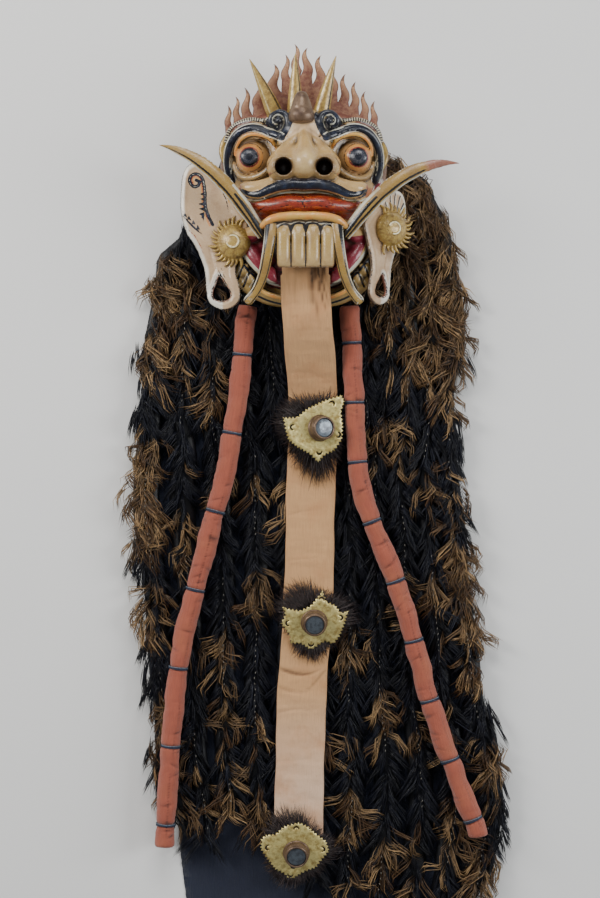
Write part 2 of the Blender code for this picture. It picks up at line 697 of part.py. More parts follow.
def fur_ruff(name, place, floor):
    """The pad of fur between a plate and the tongue."""
    centre = place.translation
    top = centre.z - floor
    bm = bmesh.new()
    bmesh.ops.create_uvsphere(bm, u_segments=14, v_segments=8, radius=1)
    size = (TONGUE_WIDTH / 2, PLATE_RADIUS * 1.05, max(top, RUFF_HEIGHT) * 1.2)
    bmesh.ops.scale(bm, vec=size, verts=bm.verts)
    bmesh.ops.translate(bm, vec=(along(TONGUE_LINE, centre.y), centre.y, floor + top * 0.4),
                        verts=bm.verts)
    ruff = add_mesh("fur_ruff_" + name, mesh_from("fur_ruff_" + name, bm), None, "hair")
    reach = PLATE_RADIUS * 6
    for label, spot, depth in (
            ("under_plate_", place, -PLATE_THICKNESS / 2 - JOINT_GAP),
            ("on_tongue_", Matrix.Translation((centre.x, centre.y, floor)), -reach)):
        slab = bmesh.new()
        bmesh.ops.create_cube(slab, size=reach)
        bmesh.ops.translate(slab, vec=(0, 0, depth + reach / 2), verts=slab.verts)
        cutter = add_mesh(label + name, mesh_from(label + name, slab), CUTTERS)
        cutter.matrix_world = spot
        cut(ruff, cutter)


# The stuffed tubes. Each pair is how far down, and how far the tube is from the tongue's edge
LEFT_TUBE_GAP = [(-0.183, 0.029), (-0.233, 0.040), (-0.287, 0.049), (-0.354, 0.061),
                 (-0.422, 0.070), (-0.503, 0.090), (-0.584, 0.108), (-0.651, 0.119),
                 (-0.719, 0.123), (-0.800, 0.128), (-0.914, 0.132)]
RIGHT_TUBE_GAP = [(-0.179, 0.011), (-0.233, 0.010), (-0.300, 0.008), (-0.354, 0.009),
                  (-0.422, 0.018), (-0.489, 0.040), (-0.557, 0.069), (-0.638, 0.098),
                  (-0.719, 0.125), (-0.800, 0.155), (-0.900, 0.196)]


def tube_point(side, y):
    """The middle of a tube at y."""
    gap = along(RIGHT_TUBE_GAP if side > 0 else LEFT_TUBE_GAP, y)
    x = along(TONGUE_LINE, y) + side * (TONGUE_WIDTH / 2 + gap + TUBE_DIAMETER / 2)
    return Vector((x, y, HAIR_TOP + JOINT_GAP + TUBE_DIAMETER / 2))


def stuffed_tube(side):
    """A stuffed cloth tube, pinched where each tie goes round it, and its ties."""
    name = "right" if side > 0 else "left"
    count = TIES_RIGHT if side > 0 else TIES_LEFT
    head = -188 * UNIT
    foot = RIGHT_TUBE_FOOT_Y if side > 0 else LEFT_TUBE_FOOT_Y
    ties = [head + (foot - head) * (i + 0.62) / (count - 0.10) for i in range(count)]
    radius = TUBE_DIAMETER / 2
    pinch = TIE_DIAMETER + JOINT_GAP
    spread = TIE_DIAMETER * 2.2
    stations = [(head, 0.86), (head - 0.004, 1.0)]
    for y in ties:
        stations += [(y + spread, 1.0), (y, 1 - pinch / radius), (y - spread, 1.0)]
    stations += [(foot + 0.004, 1.0), (foot, 0.82)]
    rings = []
    for y, share in stations:
        ahead = (tube_point(side, y - 0.01) - tube_point(side, y + 0.01)).normalized()
        across = Vector((0, 0, 1)).cross(ahead).normalized()
        rings.append(section(tube_point(side, y), across, Vector((0, 0, 1)), radius * share,
                             radius * share, TUBE_SIDES))
    loft("stuffed_tube_" + name, rings, "tube_cloth")
    for i, y in enumerate(ties):
        ahead = (tube_point(side, y - 0.01) - tube_point(side, y + 0.01)).normalized()
        across = Vector((0, 0, 1)).cross(ahead).normalized()
        frame = Matrix((across, (0, 0, 1), across.cross(Vector((0, 0, 1))))).transposed()
        bpy.ops.mesh.primitive_torus_add(
            major_segments=TUBE_SIDES, minor_segments=3,
            major_radius=radius - TIE_DIAMETER / 2, minor_radius=TIE_DIAMETER / 2)
        ring = bpy.context.active_object
        ring.name = f"tie_{name}_{i + 1}"
        ring.data.materials.append(material("tie_thread"))
        for collection in list(ring.users_collection):
            collection.objects.unlink(ring)
        PIECES.objects.link(ring)
        ring.matrix_world = Matrix.Translation(tube_point(side, y)) @ frame.to_4x4()


# The hair and its backing
def hair_edge(side, y):
    return side * along(RIGHT_EDGE if side > 0 else LEFT_EDGE, y)


def parting(y):
    """Half the width of the parting in front of the wearer's neck."""
    return along([(0.0, LOCK_GAP / 2), (PARTING_HEAD_Y, PARTING_WIDTH / 2),
                  (PARTING_FOOT_Y + PARTING_CLOSE, PARTING_WIDTH / 2),
                  (PARTING_FOOT_Y, LOCK_GAP / 2)], y)


def lane(side, k, locks, y):
    """The inner and outer edge of a lock's lane, straight between the sections' rows."""
    pitch = (HAIR_TOP_Y - HAIR_FOOT_Y) / (LOCK_SECTIONS - 1)
    row = (HAIR_TOP_Y - y) / pitch
    first = min(int(row + 0.001), LOCK_SECTIONS - 2)
    ends = []
    for at in (HAIR_TOP_Y - first * pitch, HAIR_TOP_Y - (first + 1) * pitch):
        inner = along(TONGUE_LINE, at) + side * parting(at)
        width = (hair_edge(side, at) - inner) / locks
        ends.append((inner + width * k, inner + width * (k + 1)))
    share = row - first
    return [a + (b - a) * share for a, b in zip(*ends)]


def hair_locks():
    """Locks of hair side by side on the backing, each a row of tufts."""
    pitch = (HAIR_TOP_Y - HAIR_FOOT_Y) / (LOCK_SECTIONS - 1)
    rows = [HAIR_TOP_Y - pitch * i for i in range(LOCK_SECTIONS)]
    order = 0
    for side, locks in ((-1, LOCKS_LEFT), (1, LOCKS_RIGHT)):
        for n in range(locks):
            k = n if side > 0 else locks - 1 - n
            foot = HAIR_FOOT_Y + LOCK_SHORT[order % len(LOCK_SHORT)]
            stops = [y for y in rows if y > foot + 0.010] + [foot]
            rings = []
            for i, y in enumerate(stops):
                inner, outer = lane(side, k, locks, y)
                full = 0.35 if i == len(stops) - 1 else 0.80 if i == 0 else 1.0
                tuft = TUFT_SHARE if (i + order) % 2 else 1.0
                height = LOCK_HEIGHT / 2 * tuft
                centre = Vector(((inner + outer) / 2, y, BACKING_THICKNESS + JOINT_GAP + height))
                half = (abs(outer - inner) - LOCK_GAP) / 2 * full
                rings.append(section(centre, Vector((1, 0, 0)), Vector((0, 0, 1)),
                                     half * (1.0 + tuft) / 2, height, LOCK_SIDES))
            order += 1
            loft(f"hair_lock_{order}", rings, "hair")


def backing():
    """The cloth that the hair is sewn to. The part lies on its flat underside."""
    steps = 16
    edge = []
    for i in range(steps + 1):
        y = HAIR_TOP_Y - BACKING_INSET + (HAIR_FOOT_Y - HAIR_TOP_Y + BACKING_INSET) * i / steps
        edge.append(y)
    right = [(hair_edge(1, y) - BACKING_INSET, y) for y in edge]
    left = [(hair_edge(-1, y) + BACKING_INSET, y) for y in edge]
    place = Matrix.Translation((0, 0, BACKING_THICKNESS / 2))
    flat_solid("cloth_backing", right + left[::-1], BACKING_THICKNESS, "backing_cloth",
               place=place)


def main():
    backing()
    hair_locks()
    mask = sculpted("carved_mask", face_forms())
    for cutter in hollow_cutters():
        cut(mask, cutter)
    let_in = [crest(), *horns(), knob(), tongue()]
    for side, rise, bend in ((-1, 56, 46), (1, 51, 58)):
        let_in += [tusk(side, rise, bend), fang(side), ear(side), boss(side), temple_leaf(side)]
    for piece in let_in:
        cut(mask, grown(piece, SOCKET_GAP))
    for side in (-1, 1):
        stuffed_tube(side)
    medallions()


main()
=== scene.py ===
"""The finish of the carved ceremonial dance mask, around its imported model.

Lengths are in metres. The carving of the face is laid out in face units of a
millimetre, across from between the eyes, up towards the crown, and out from the rim.
"""

import math

import bpy
import numpy as np
from mathutils import Matrix, Vector
from mathutils.geometry import delaunay_2d_cdt

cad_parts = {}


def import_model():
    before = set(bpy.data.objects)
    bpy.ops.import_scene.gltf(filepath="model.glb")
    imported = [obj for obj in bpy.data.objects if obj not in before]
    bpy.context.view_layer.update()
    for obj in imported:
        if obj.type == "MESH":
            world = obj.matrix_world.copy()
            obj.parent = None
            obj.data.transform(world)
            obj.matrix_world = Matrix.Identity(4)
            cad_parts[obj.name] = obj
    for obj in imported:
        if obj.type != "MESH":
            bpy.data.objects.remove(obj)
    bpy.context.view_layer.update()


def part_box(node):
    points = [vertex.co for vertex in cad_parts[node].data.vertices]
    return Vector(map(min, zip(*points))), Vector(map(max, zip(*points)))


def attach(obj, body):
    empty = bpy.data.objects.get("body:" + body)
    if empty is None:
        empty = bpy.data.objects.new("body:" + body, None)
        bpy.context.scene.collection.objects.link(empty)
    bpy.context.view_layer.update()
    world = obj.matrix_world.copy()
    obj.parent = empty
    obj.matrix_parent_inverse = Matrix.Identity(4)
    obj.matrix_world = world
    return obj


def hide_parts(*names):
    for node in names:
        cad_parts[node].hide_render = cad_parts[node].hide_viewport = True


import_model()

# Where the solids lie, and their sizes in metres
BODY = "root"
UNIT = 0.001  # a face unit
MASK_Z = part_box("carved_mask")[0][2]
HAIR_TOP = max(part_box(f"hair_lock_{i + 1}")[1][2] for i in range(11))
BACKING_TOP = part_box("cloth_backing")[1][2]

TUSK_WIDTH = 0.021
TUSK_THICKNESS = 0.013
FANG_WIDTH = 0.014
HORN_LENGTH = 0.078
HORN_RADIUS = 0.011
KNOB_RADIUS = 0.0165
KNOB_LENGTH = 0.042
TONGUE_WIDTH = 0.067
TONGUE_THICKNESS = 0.009
TUBE_DIAMETER = 0.028
PLATE_RADIUS = 0.038
BEZEL_RADIUS = 0.0165
BEZEL_HEIGHT = 0.015
MIRROR_RADIUS = 0.0125


def tone(r, g, b):
    """The shader's colour for a screen colour, each of whose parts is from 0 to 1."""
    return tuple(c / 12.92 if c < 0.04 else ((c + 0.055) / 1.055) ** 2.4 for c in (r, g, b))


# Colours of paint, leather, hair and wood
CREAM = tone(0.73, 0.59, 0.37)
PALE_CREAM = tone(0.86, 0.74, 0.58)
TOOTH = tone(0.67, 0.55, 0.31)
GILT = tone(0.60, 0.47, 0.20)
INK = tone(0.035, 0.04, 0.06)
BLUE = tone(0.04, 0.055, 0.11)
WHITE = tone(0.80, 0.80, 0.74)
RED = tone(0.52, 0.17, 0.10)
CRIMSON = tone(0.50, 0.15, 0.20)
ORANGE = tone(0.74, 0.36, 0.12)
SALMON = tone(0.76, 0.48, 0.38)
SHADE = tone(0.30, 0.21, 0.12)
BARE_WOOD = tone(0.56, 0.43, 0.30)
EAR_PINK = tone(0.75, 0.63, 0.49)
EAR_PALE = tone(0.86, 0.83, 0.77)
CREST_RED = tone(0.45, 0.24, 0.17)
CREST_TIP = tone(0.74, 0.57, 0.41)
HAIR_BLACK = tone(0.085, 0.085, 0.10)
HAIR_BLUE = tone(0.09, 0.12, 0.22)
HAIR_TAN = tone(0.42, 0.30, 0.19)
HAIR_PALE = tone(0.80, 0.65, 0.46)
FUR = tone(0.23, 0.19, 0.18)


# Curves and random draws
def through(points, count):
    """Points on the smooth curve through these ones, as an array."""
    points = np.array(points, float)
    ends = np.vstack([2 * points[0] - points[1], points, 2 * points[-1] - points[-2]])
    t = np.linspace(0, len(points) - 1, count)
    k = np.minimum(t.astype(int), len(points) - 2)
    t = (t - k)[:, None]
    a, b, c, d = ends[k], ends[k + 1], ends[k + 2], ends[k + 3]
    return 0.5 * (2 * b + (c - a) * t + (2 * a - 5 * b + 4 * c - d) * t ** 2
                  + (3 * b - a - 3 * c + d) * t ** 3)


def even(points, step):
    """The smooth curve through these points, with a point at each step of its length."""
    dense = through(points, len(points) * 24)
    run = np.concatenate([[0], np.cumsum(np.linalg.norm(np.diff(dense, axis=0), axis=1))])
    stops = np.linspace(0, run[-1], max(2, int(round(run[-1] / step)) + 1))
    return np.stack([np.interp(stops, run, dense[:, i]) for i in range(dense.shape[1])], axis=1)


def along(table, y):
    """The value that a table of (y, value) pairs, from the top down, gives at y."""
    y = np.asarray(y, float)
    ys = np.array([row[0] for row in table][::-1])
    values = np.array([row[1] for row in table][::-1])
    k = np.clip(np.searchsorted(ys, y, side="right") - 1, 0, len(ys) - 2)
    t = np.clip((y - ys[k]) / (ys[k + 1] - ys[k]), 0, 1)
    return values[k] + (values[k + 1] - values[k]) * t * t * (3 - 2 * t)


def curved(table, y):
    """The value at y on the smooth curve through a table of (y, value) pairs, top first."""
    curve = through(table, len(table) * 20)[::-1]
    return np.interp(y, curve[:, 0], curve[:, 1])


def beside(path, distance):
    """A line that runs beside a flat one, at a distance to its left."""
    ahead = unit(np.gradient(np.asarray(path, float), axis=0))
    return path + np.column_stack([-ahead[:, 1], ahead[:, 0]]) * distance


def waves(points, scale, seed, octaves=3):
    """A smooth random value from about -1 to 1 at each point, made of sine waves."""
    draw = np.random.default_rng(seed)
    total = np.zeros(len(points))
    size = 1.0
    for _ in range(octaves):
        for _ in range(4):
            direction = draw.normal(size=points.shape[1])
            direction /= np.linalg.norm(direction)
            phase = draw.uniform(0, math.tau)
            total += size * np.sin(points @ direction * math.tau * scale + phase) / 3
        scale *= 2.1
        size *= 0.5
    return total


# Meshes
PAINT_FIELDS = ("line", "light", "blue", "gold", "red", "crimson")
FAR = 9.0  # a paint field's value where that paint isn't near, in face units


def add_object(name, verts, faces, surface, replaces):
    """An object of these vertices and faces that rides on the body and replaces nodes."""
    mesh = bpy.data.meshes.new(name)
    sizes = np.concatenate([np.full(len(f), f.shape[1]) for f in faces])
    loops = np.concatenate([f.ravel() for f in faces])
    mesh.vertices.add(len(verts))
    mesh.vertices.foreach_set("co", np.asarray(verts, np.float32).ravel())
    mesh.loops.add(len(loops))
    mesh.loops.foreach_set("vertex_index", loops.astype(np.int32))
    mesh.polygons.add(len(sizes))
    starts = np.concatenate([[0], np.cumsum(sizes)[:-1]])
    mesh.polygons.foreach_set("loop_start", starts.astype(np.int32))
    mesh.update(calc_edges=True)
    mesh.validate()
    mesh.shade_smooth()
    mesh.materials.append(surface)
    obj = bpy.data.objects.new(name, mesh)
    bpy.context.scene.collection.objects.link(obj)
    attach(obj, BODY)
    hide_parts(*replaces)
    return obj


def store(obj, name, values):
    """Keeps one number for each vertex, for the materials."""
    field = obj.data.attributes.new(name, "FLOAT", "POINT")
    field.data.foreach_set("value", np.asarray(values, np.float32))


def store_colour(obj, name, values):
    """Keeps one colour for each vertex, for the materials."""
    field = obj.data.attributes.new(name, "FLOAT_COLOR", "POINT")
    rgba = np.ones((len(values), 4), np.float32)
    rgba[:, :3] = values
    field.data.foreach_set("color", rgba.ravel())


def grid_faces(rows, columns, closed):
    """The quads between rows of points, each row closed in a ring or open."""
    row, column = np.meshgrid(np.arange(rows - 1), np.arange(columns if closed else columns - 1),
                              indexing="ij")
    after = (column + 1) % columns
    here = row * columns + column
    return np.stack([here, row * columns + after, (row + 1) * columns + after,
                     (row + 1) * columns + column], axis=-1).reshape(-1, 4)


def skin(rings):
    """The vertices and faces of a solid over rings of points, closed by fans at its ends."""
    rows, columns = rings.shape[:2]
    verts = np.vstack([rings.reshape(-1, 3), rings[0].mean(axis=0), rings[-1].mean(axis=0)])
    index = np.arange(columns)
    after = (index + 1) % columns
    first, last = rows * columns, rows * columns + 1
    base = (rows - 1) * columns
    start = np.stack([np.full(columns, first), after, index], axis=1)
    end = np.stack([np.full(columns, last), base + index, base + after], axis=1)
    return verts, [grid_faces(rows, columns, True), start, end]


def sections(path, across, up, half_width, half_height, sides, power=2.0):
    """Rings of points round a path, each on an ellipse that a power above 2 makes squarer."""
    angle = np.linspace(0, math.tau, sides, endpoint=False)
    c, s = np.cos(angle), np.sin(angle)
    c = np.sign(c) * np.abs(c) ** (2 / power)
    s = np.sign(s) * np.abs(s) ** (2 / power)
    return (path[:, None] + across[:, None] * (half_width[:, None] * c)[:, :, None]
            + up[:, None] * (half_height[:, None] * s)[:, :, None])


def unit(vectors):
    return vectors / np.maximum(np.linalg.norm(vectors, axis=-1, keepdims=True), 1e-12)


# Carving, worked out as a field of distances and then skinned
class Carving:
    """A block of distances to a surface, below nothing inside it, in face units."""

    def __init__(self, low, high, cell):
        self.cell = np.array(cell, float)
        self.low = np.array(low, float)
        self.shape = np.ceil((np.array(high) - self.low) / self.cell).astype(int) + 1
        self.field = np.full(self.shape, FAR, np.float32)

    def part(self, low, high):
        """The part of the block between two corners, and its coordinates."""
        first = np.clip(np.floor((np.array(low) - self.low) / self.cell).astype(int), 0, None)
        last = np.minimum(np.ceil((np.array(high) - self.low) / self.cell).astype(int) + 1,
                          self.shape)
        span = tuple(slice(a, max(a, b)) for a, b in zip(first, last))
        axes = [self.low[k] + np.arange(s.start, s.stop) * self.cell[k]
                for k, s in enumerate(span)]
        x, y, z = (a.astype(np.float32) for a in axes)
        return span, x[:, None, None], y[None, :, None], z[None, None, :]

    def join(self, span, distance, blend, cut=False):
        """Adds a form to the block, or cuts it out, rounding where the two meet."""
        old = self.field[span]
        if old.size == 0:
            return
        sign = -1.0 if cut else 1.0
        old = old * sign
        h = np.clip(0.5 + 0.5 * (old - distance) / max(blend, 1e-6), 0, 1)
        self.field[span] = sign * (old * (1 - h) + distance * h - blend * h * (1 - h))

    def blob(self, centre, radii, power=2.0, blend=3.0, cut=False):
        """An ellipsoid that a power above 2 makes squarer."""
        reach = np.array(radii) + blend + 3
        span, x, y, z = self.part(np.array(centre) - reach, np.array(centre) + reach)
        q = [np.abs(a - c) / r + 1e-6 for a, c, r in zip((x, y, z), centre, radii)]
        total = q[0] ** power + q[1] ** power + q[2] ** power
        f = total ** (1 / power)
        slope = np.sqrt(sum((a ** (power - 1) / r) ** 2 for a, r in zip(q, radii)))
        slope = slope * f ** (1 - power)
        distance = (f - 1) / np.maximum(slope, 1 / max(radii))
        self.join(span, distance, blend, cut)

    def roll(self, points, radii, blend=1.5, step=3.0, cut=False, flat=1.0):
        """A rounded ridge along a curve, with a radius at each of its points."""
        table = np.column_stack([np.array(points, float), np.array(radii, float)])
        path = even(table, step)
        for a, b in zip(path, path[1:]):
            reach = max(a[3], b[3]) + blend + 3
            span, x, y, z = self.part(np.minimum(a[:3], b[:3]) - reach,
                                      np.maximum(a[:3], b[:3]) + reach)
            way = b[:3] - a[:3]
            share = ((x - a[0]) * way[0] + (y - a[1]) * way[1] + (z - a[2]) * way[2])
            share = np.clip(share / max(float(way @ way), 1e-9), 0, 1)
            distance = np.sqrt((x - a[0] - share * way[0]) ** 2 + (y - a[1] - share * way[1]) ** 2
                               + ((z - a[2] - share * way[2]) / flat) ** 2)
            self.join(span, distance - (a[3] + (b[3] - a[3]) * share), blend, cut)

    def skinned(self):
        """Vertices and quads on the surface where the distance is nothing."""
        f = self.field
        inside = f < 0
        cells = tuple(n - 1 for n in self.shape)
        count = np.zeros(cells, np.int8)
        for i, j, k in np.ndindex(2, 2, 2):
            count += inside[i:cells[0] + i, j:cells[1] + j, k:cells[2] + k]
        at = np.argwhere((count > 0) & (count < 8))
        number = np.full(cells, -1, np.int64)
        number[tuple(at.T)] = np.arange(len(at))
        total = np.zeros((len(at), 3))
        hits = np.zeros(len(at))
        for axis in range(3):
            others = [a for a in range(3) if a != axis]
            for aside in np.ndindex(2, 2):
                low = at.copy()
                low[:, others] += aside
                high = low.copy()
                high[:, axis] += 1
                a, b = f[tuple(low.T)], f[tuple(high.T)]
                cross = (a < 0) != (b < 0)
                place = (low - at).astype(float)
                place[:, axis] += np.where(cross, a / np.where(cross, a - b, 1), 0)
                total += place * cross[:, None]
                hits += cross
        verts = self.low + (at + total / hits[:, None]) * self.cell
        return verts, self.quads(inside, number)

    def quads(self, inside, number):
        """The quads between the numbered cells round each edge that crosses the surface."""
        quads = []
        for axis in range(3):
            b, c = (axis + 1) % 3, (axis + 2) % 3
            low = [slice(None)] * 3
            high = [slice(None)] * 3
            low[axis], high[axis] = slice(0, -1), slice(1, None)
            changed = inside[tuple(low)] != inside[tuple(high)]
            edge = np.argwhere(changed)
            keep = ((edge[:, b] > 0) & (edge[:, b] < self.shape[b] - 1)
                    & (edge[:, c] > 0) & (edge[:, c] < self.shape[c] - 1))
            edge = edge[keep]
            ring = []
            for db, dc in ((-1, -1), (0, -1), (0, 0), (-1, 0)):
                cell = edge.copy()
                cell[:, b] += db
                cell[:, c] += dc
                ring.append(number[tuple(cell.T)])
            quad = np.stack(ring, axis=1)
            outward = inside[tuple(edge.T)]
            quads.append(np.where(outward[:, None], quad, quad[:, ::-1]))
        return np.concatenate(quads)


def relaxed(verts, quads, rounds, share=0.5):
    """The vertices, each moved a share of the way towards its neighbours' middle."""
    ends = np.concatenate([quads[:, [i, (i + 1) % 4]] for i in range(4)])
    near, far = np.concatenate([ends, ends[:, ::-1]]).T
    count = np.bincount(near, minlength=len(verts))[:, None]
    for _ in range(rounds):
        total = np.stack([np.bincount(near, weights=verts[far, k], minlength=len(verts))
                          for k in range(3)], axis=1)
        verts = verts + (total / np.maximum(count, 1) - verts) * share
    return verts


def normals_of(verts, quads):
    """A smooth normal at each vertex."""
    a, b, c, d = (verts[quads[:, i]] for i in range(4))
    face = np.cross(c - a, d - b)
    total = np.zeros_like(verts)
    for i in range(4):
        for k in range(3):
            total[:, k] += np.bincount(quads[:, i], weights=face[:, k], minlength=len(verts))
    return unit(total)


def cavities(verts, quads, normals, rounds, full):
    """How deep each vertex lies in a hollow of the carving, from 0 to 1."""
    smooth = relaxed(verts, quads, rounds)
    depth = ((smooth - verts) * normals).sum(axis=1)
    return np.clip(depth / full, 0, 1)


def outline_distance(x, y, loops):
    """How far each place is from closed outlines, below nothing where it is inside them."""
    nearest = np.full(x.shape, 1e9)
    inside = np.zeros(x.shape, bool)
    for loop in loops:
        for (x0, y0), (x1, y1) in zip(loop, np.roll(loop, -1, axis=0)):
            dx, dy = x1 - x0, y1 - y0
            t = np.clip(((x - x0) * dx + (y - y0) * dy) / max(dx * dx + dy * dy, 1e-12), 0, 1)
            nearest = np.minimum(nearest, (x - x0 - t * dx) ** 2 + (y - y0 - t * dy) ** 2)
            crosses = (y0 > y) != (y1 > y)
            if y1 != y0:
                inside ^= crosses & (x < x0 + (y - y0) / (y1 - y0) * dx)
    return np.where(inside, -1, 1) * np.sqrt(nearest)


# Paint, as distances from painted strokes and patches
class Paint:
    """Fields of distance to each paint at a carving's vertices, seen from the front."""

    def __init__(self, places, where, fields=None):
        self.places = places
        self.where = where
        self.fields = fields or {name: np.full(len(places), FAR) for name in PAINT_FIELDS}

    def near(self, low, high):
        """The vertices to paint that lie between two corners."""
        p = self.places
        return np.nonzero(self.where & (p[:, 0] > low[0]) & (p[:, 0] < high[0])
                          & (p[:, 1] > low[1]) & (p[:, 1] < high[1]))[0]

    def reach(self, points):
        """How far vertices are from a line of points, and how far along it they lie."""
        points = np.asarray(points, float)
        low, high = points.min(axis=0) - 12, points.max(axis=0) + 12
        found = self.near(low, high)
        p = self.places[found, :2]
        nearest = np.full(len(found), 1e9)
        along_it = np.zeros(len(found))
        run = 0.0
        for a, b in zip(points, points[1:]):
            way = b - a
            length = max(float(np.linalg.norm(way)), 1e-9)
            t = np.clip((p - a) @ way / length ** 2, 0, 1)
            d = np.linalg.norm(p - a - t[:, None] * way, axis=1)
            closer = d < nearest
            nearest = np.where(closer, d, nearest)
            along_it = np.where(closer, run + t * length, along_it)
            run += length
        return found, nearest, along_it, run

    def stroke(self, field, points, width, taper=False):
        """A brush stroke of that width along a smooth curve."""
        points = even(points, 2.0) if len(points) > 2 else np.array(points, float)
        found, distance, run, length = self.reach(points)
        half = width / 2
        if taper:
            half = half * (1 - 0.75 * np.abs(2 * run / max(length, 1e-6) - 1) ** 2)
        self.lay(field, found, distance - half)

    def patch(self, field, outline, smooth=True):
        """A filled patch inside a closed outline."""
        outline = np.array(outline, float)
        if smooth:
            outline = even(np.vstack([outline, outline[:1]]), 3.0)[:-1]
        found = self.near(outline.min(axis=0) - 12, outline.max(axis=0) + 12)
        p = self.places[found]
        self.lay(field, found, outline_distance(p[:, 0], p[:, 1], [outline]))

    def lay(self, field, found, distance):
        """Lays a paint on some vertices, by their distance from it."""
        values = self.fields[field]
        values[found] = np.minimum(values[found], distance)

    def save(self, obj):
        """Keeps every paint field on the object's vertices."""
        for name, values in self.fields.items():
            store(obj, name, np.clip(values, -FAR, FAR))


def mirrored(points, side):
    """Points that are given for the right side (1), as they lie on that side or the left."""
    return [(side * x, *rest) for x, *rest in points]


# Materials
class Surface:
    """A Principled material whose nodes are added by short calls."""

    def __init__(self, name, **values):
        self.material = bpy.data.materials.new(name)
        self.material.use_nodes = True
        self.tree = self.material.node_tree
        self.shader = self.tree.nodes["Principled BSDF"]
        for socket, value in values.items():
            self.shader.inputs[socket.replace("_", " ")].default_value = value

    def node(self, kind, inputs=(), **settings):
        """A new node with these settings, whose inputs are fed in."""
        made = self.tree.nodes.new(kind)
        for key, value in settings.items():
            setattr(made, key, value)
        for key, value in dict(inputs).items():
            self.feed(made.inputs[key], value)
        return made

    def feed(self, socket, value):
        """Links a socket to another node's output, or sets it to a plain value."""
        if isinstance(value, bpy.types.NodeSocket):
            self.tree.links.new(value, socket)
        else:
            socket.default_value = value

    def number(self, name):
        return self.node("ShaderNodeAttribute", attribute_name=name).outputs["Fac"]

    def colour(self, name):
        return self.node("ShaderNodeAttribute", attribute_name=name).outputs["Color"]

    def place(self, stretch=None):
        """Object coordinates, in metres, stretched along each axis."""
        where = self.node("ShaderNodeTexCoord").outputs["Object"]
        if stretch is None:
            return where
        return self.node("ShaderNodeVectorMath", {0: where, 1: stretch},
                         operation="MULTIPLY").outputs["Vector"]

    def together(self, x, y, z=0.0):
        return self.node("ShaderNodeCombineXYZ", {"X": x, "Y": y, "Z": z}).outputs["Vector"]

    def noise(self, scale, detail=3.0, roughness=0.5, vector=None, distortion=0.0):
        """Smooth noise, at so many spots to the metre unless its vector is stretched."""
        vector = self.place() if vector is None else vector
        return self.node("ShaderNodeTexNoise", {
            "Vector": vector, "Scale": scale, "Detail": detail, "Roughness": roughness,
            "Distortion": distortion}).outputs["Fac"]

    def cells(self, scale):
        return self.node("ShaderNodeTexVoronoi", {"Vector": self.place(),
                                                  "Scale": scale}).outputs["Distance"]

    def stripes(self, vector, per_metre, distortion=0.0, axis="X"):
        """Bands across an axis, so many to the metre."""
        return self.node("ShaderNodeTexWave", {
            "Vector": vector, "Scale": per_metre * math.tau / 20, "Distortion": distortion,
            "Detail": 1.0}, bands_direction=axis).outputs["Fac"]

    def math(self, operation, a, b=0.0):
        return self.node("ShaderNodeMath", {0: a, 1: b}, operation=operation).outputs[0]

    def span(self, value, low, high, to_low=0.0, to_high=1.0):
        """Maps a value from one range to another with a smooth step."""
        return self.node("ShaderNodeMapRange", {
            "Value": value, "From Min": low, "From Max": high, "To Min": to_low,
            "To Max": to_high}, interpolation_type="SMOOTHSTEP").outputs["Result"]

    def mix(self, share, a, b, blend="MIX"):
        """Mixes a share of the second colour into the first."""
        made = self.node("ShaderNodeMix", data_type="RGBA", blend_type=blend)
        self.feed(made.inputs[0], share)
        for socket, value in ((made.inputs[6], a), (made.inputs[7], b)):
            self.feed(socket, value if isinstance(value, bpy.types.NodeSocket) else (*value, 1.0))
        return made.outputs[2]

    def finish(self, base, roughness=None, heights=(), metallic=None):
        """Links the colour, the roughness, and bumps of (height, distance) pairs."""
        self.feed(self.shader.inputs["Base Color"], base)
        if roughness is not None:
            self.feed(self.shader.inputs["Roughness"], roughness)
        if metallic is not None:
            self.feed(self.shader.inputs["Metallic"], metallic)
        normal = None
        for height, distance in heights:
            bump = self.node("ShaderNodeBump", {"Height": height, "Distance": distance,
                                                "Strength": 1.0})
            if normal is not None:
                self.feed(bump.inputs["Normal"], normal)
            normal = bump.outputs["Normal"]
        if normal is not None:
            self.feed(self.shader.inputs["Normal"], normal)
        return self.material


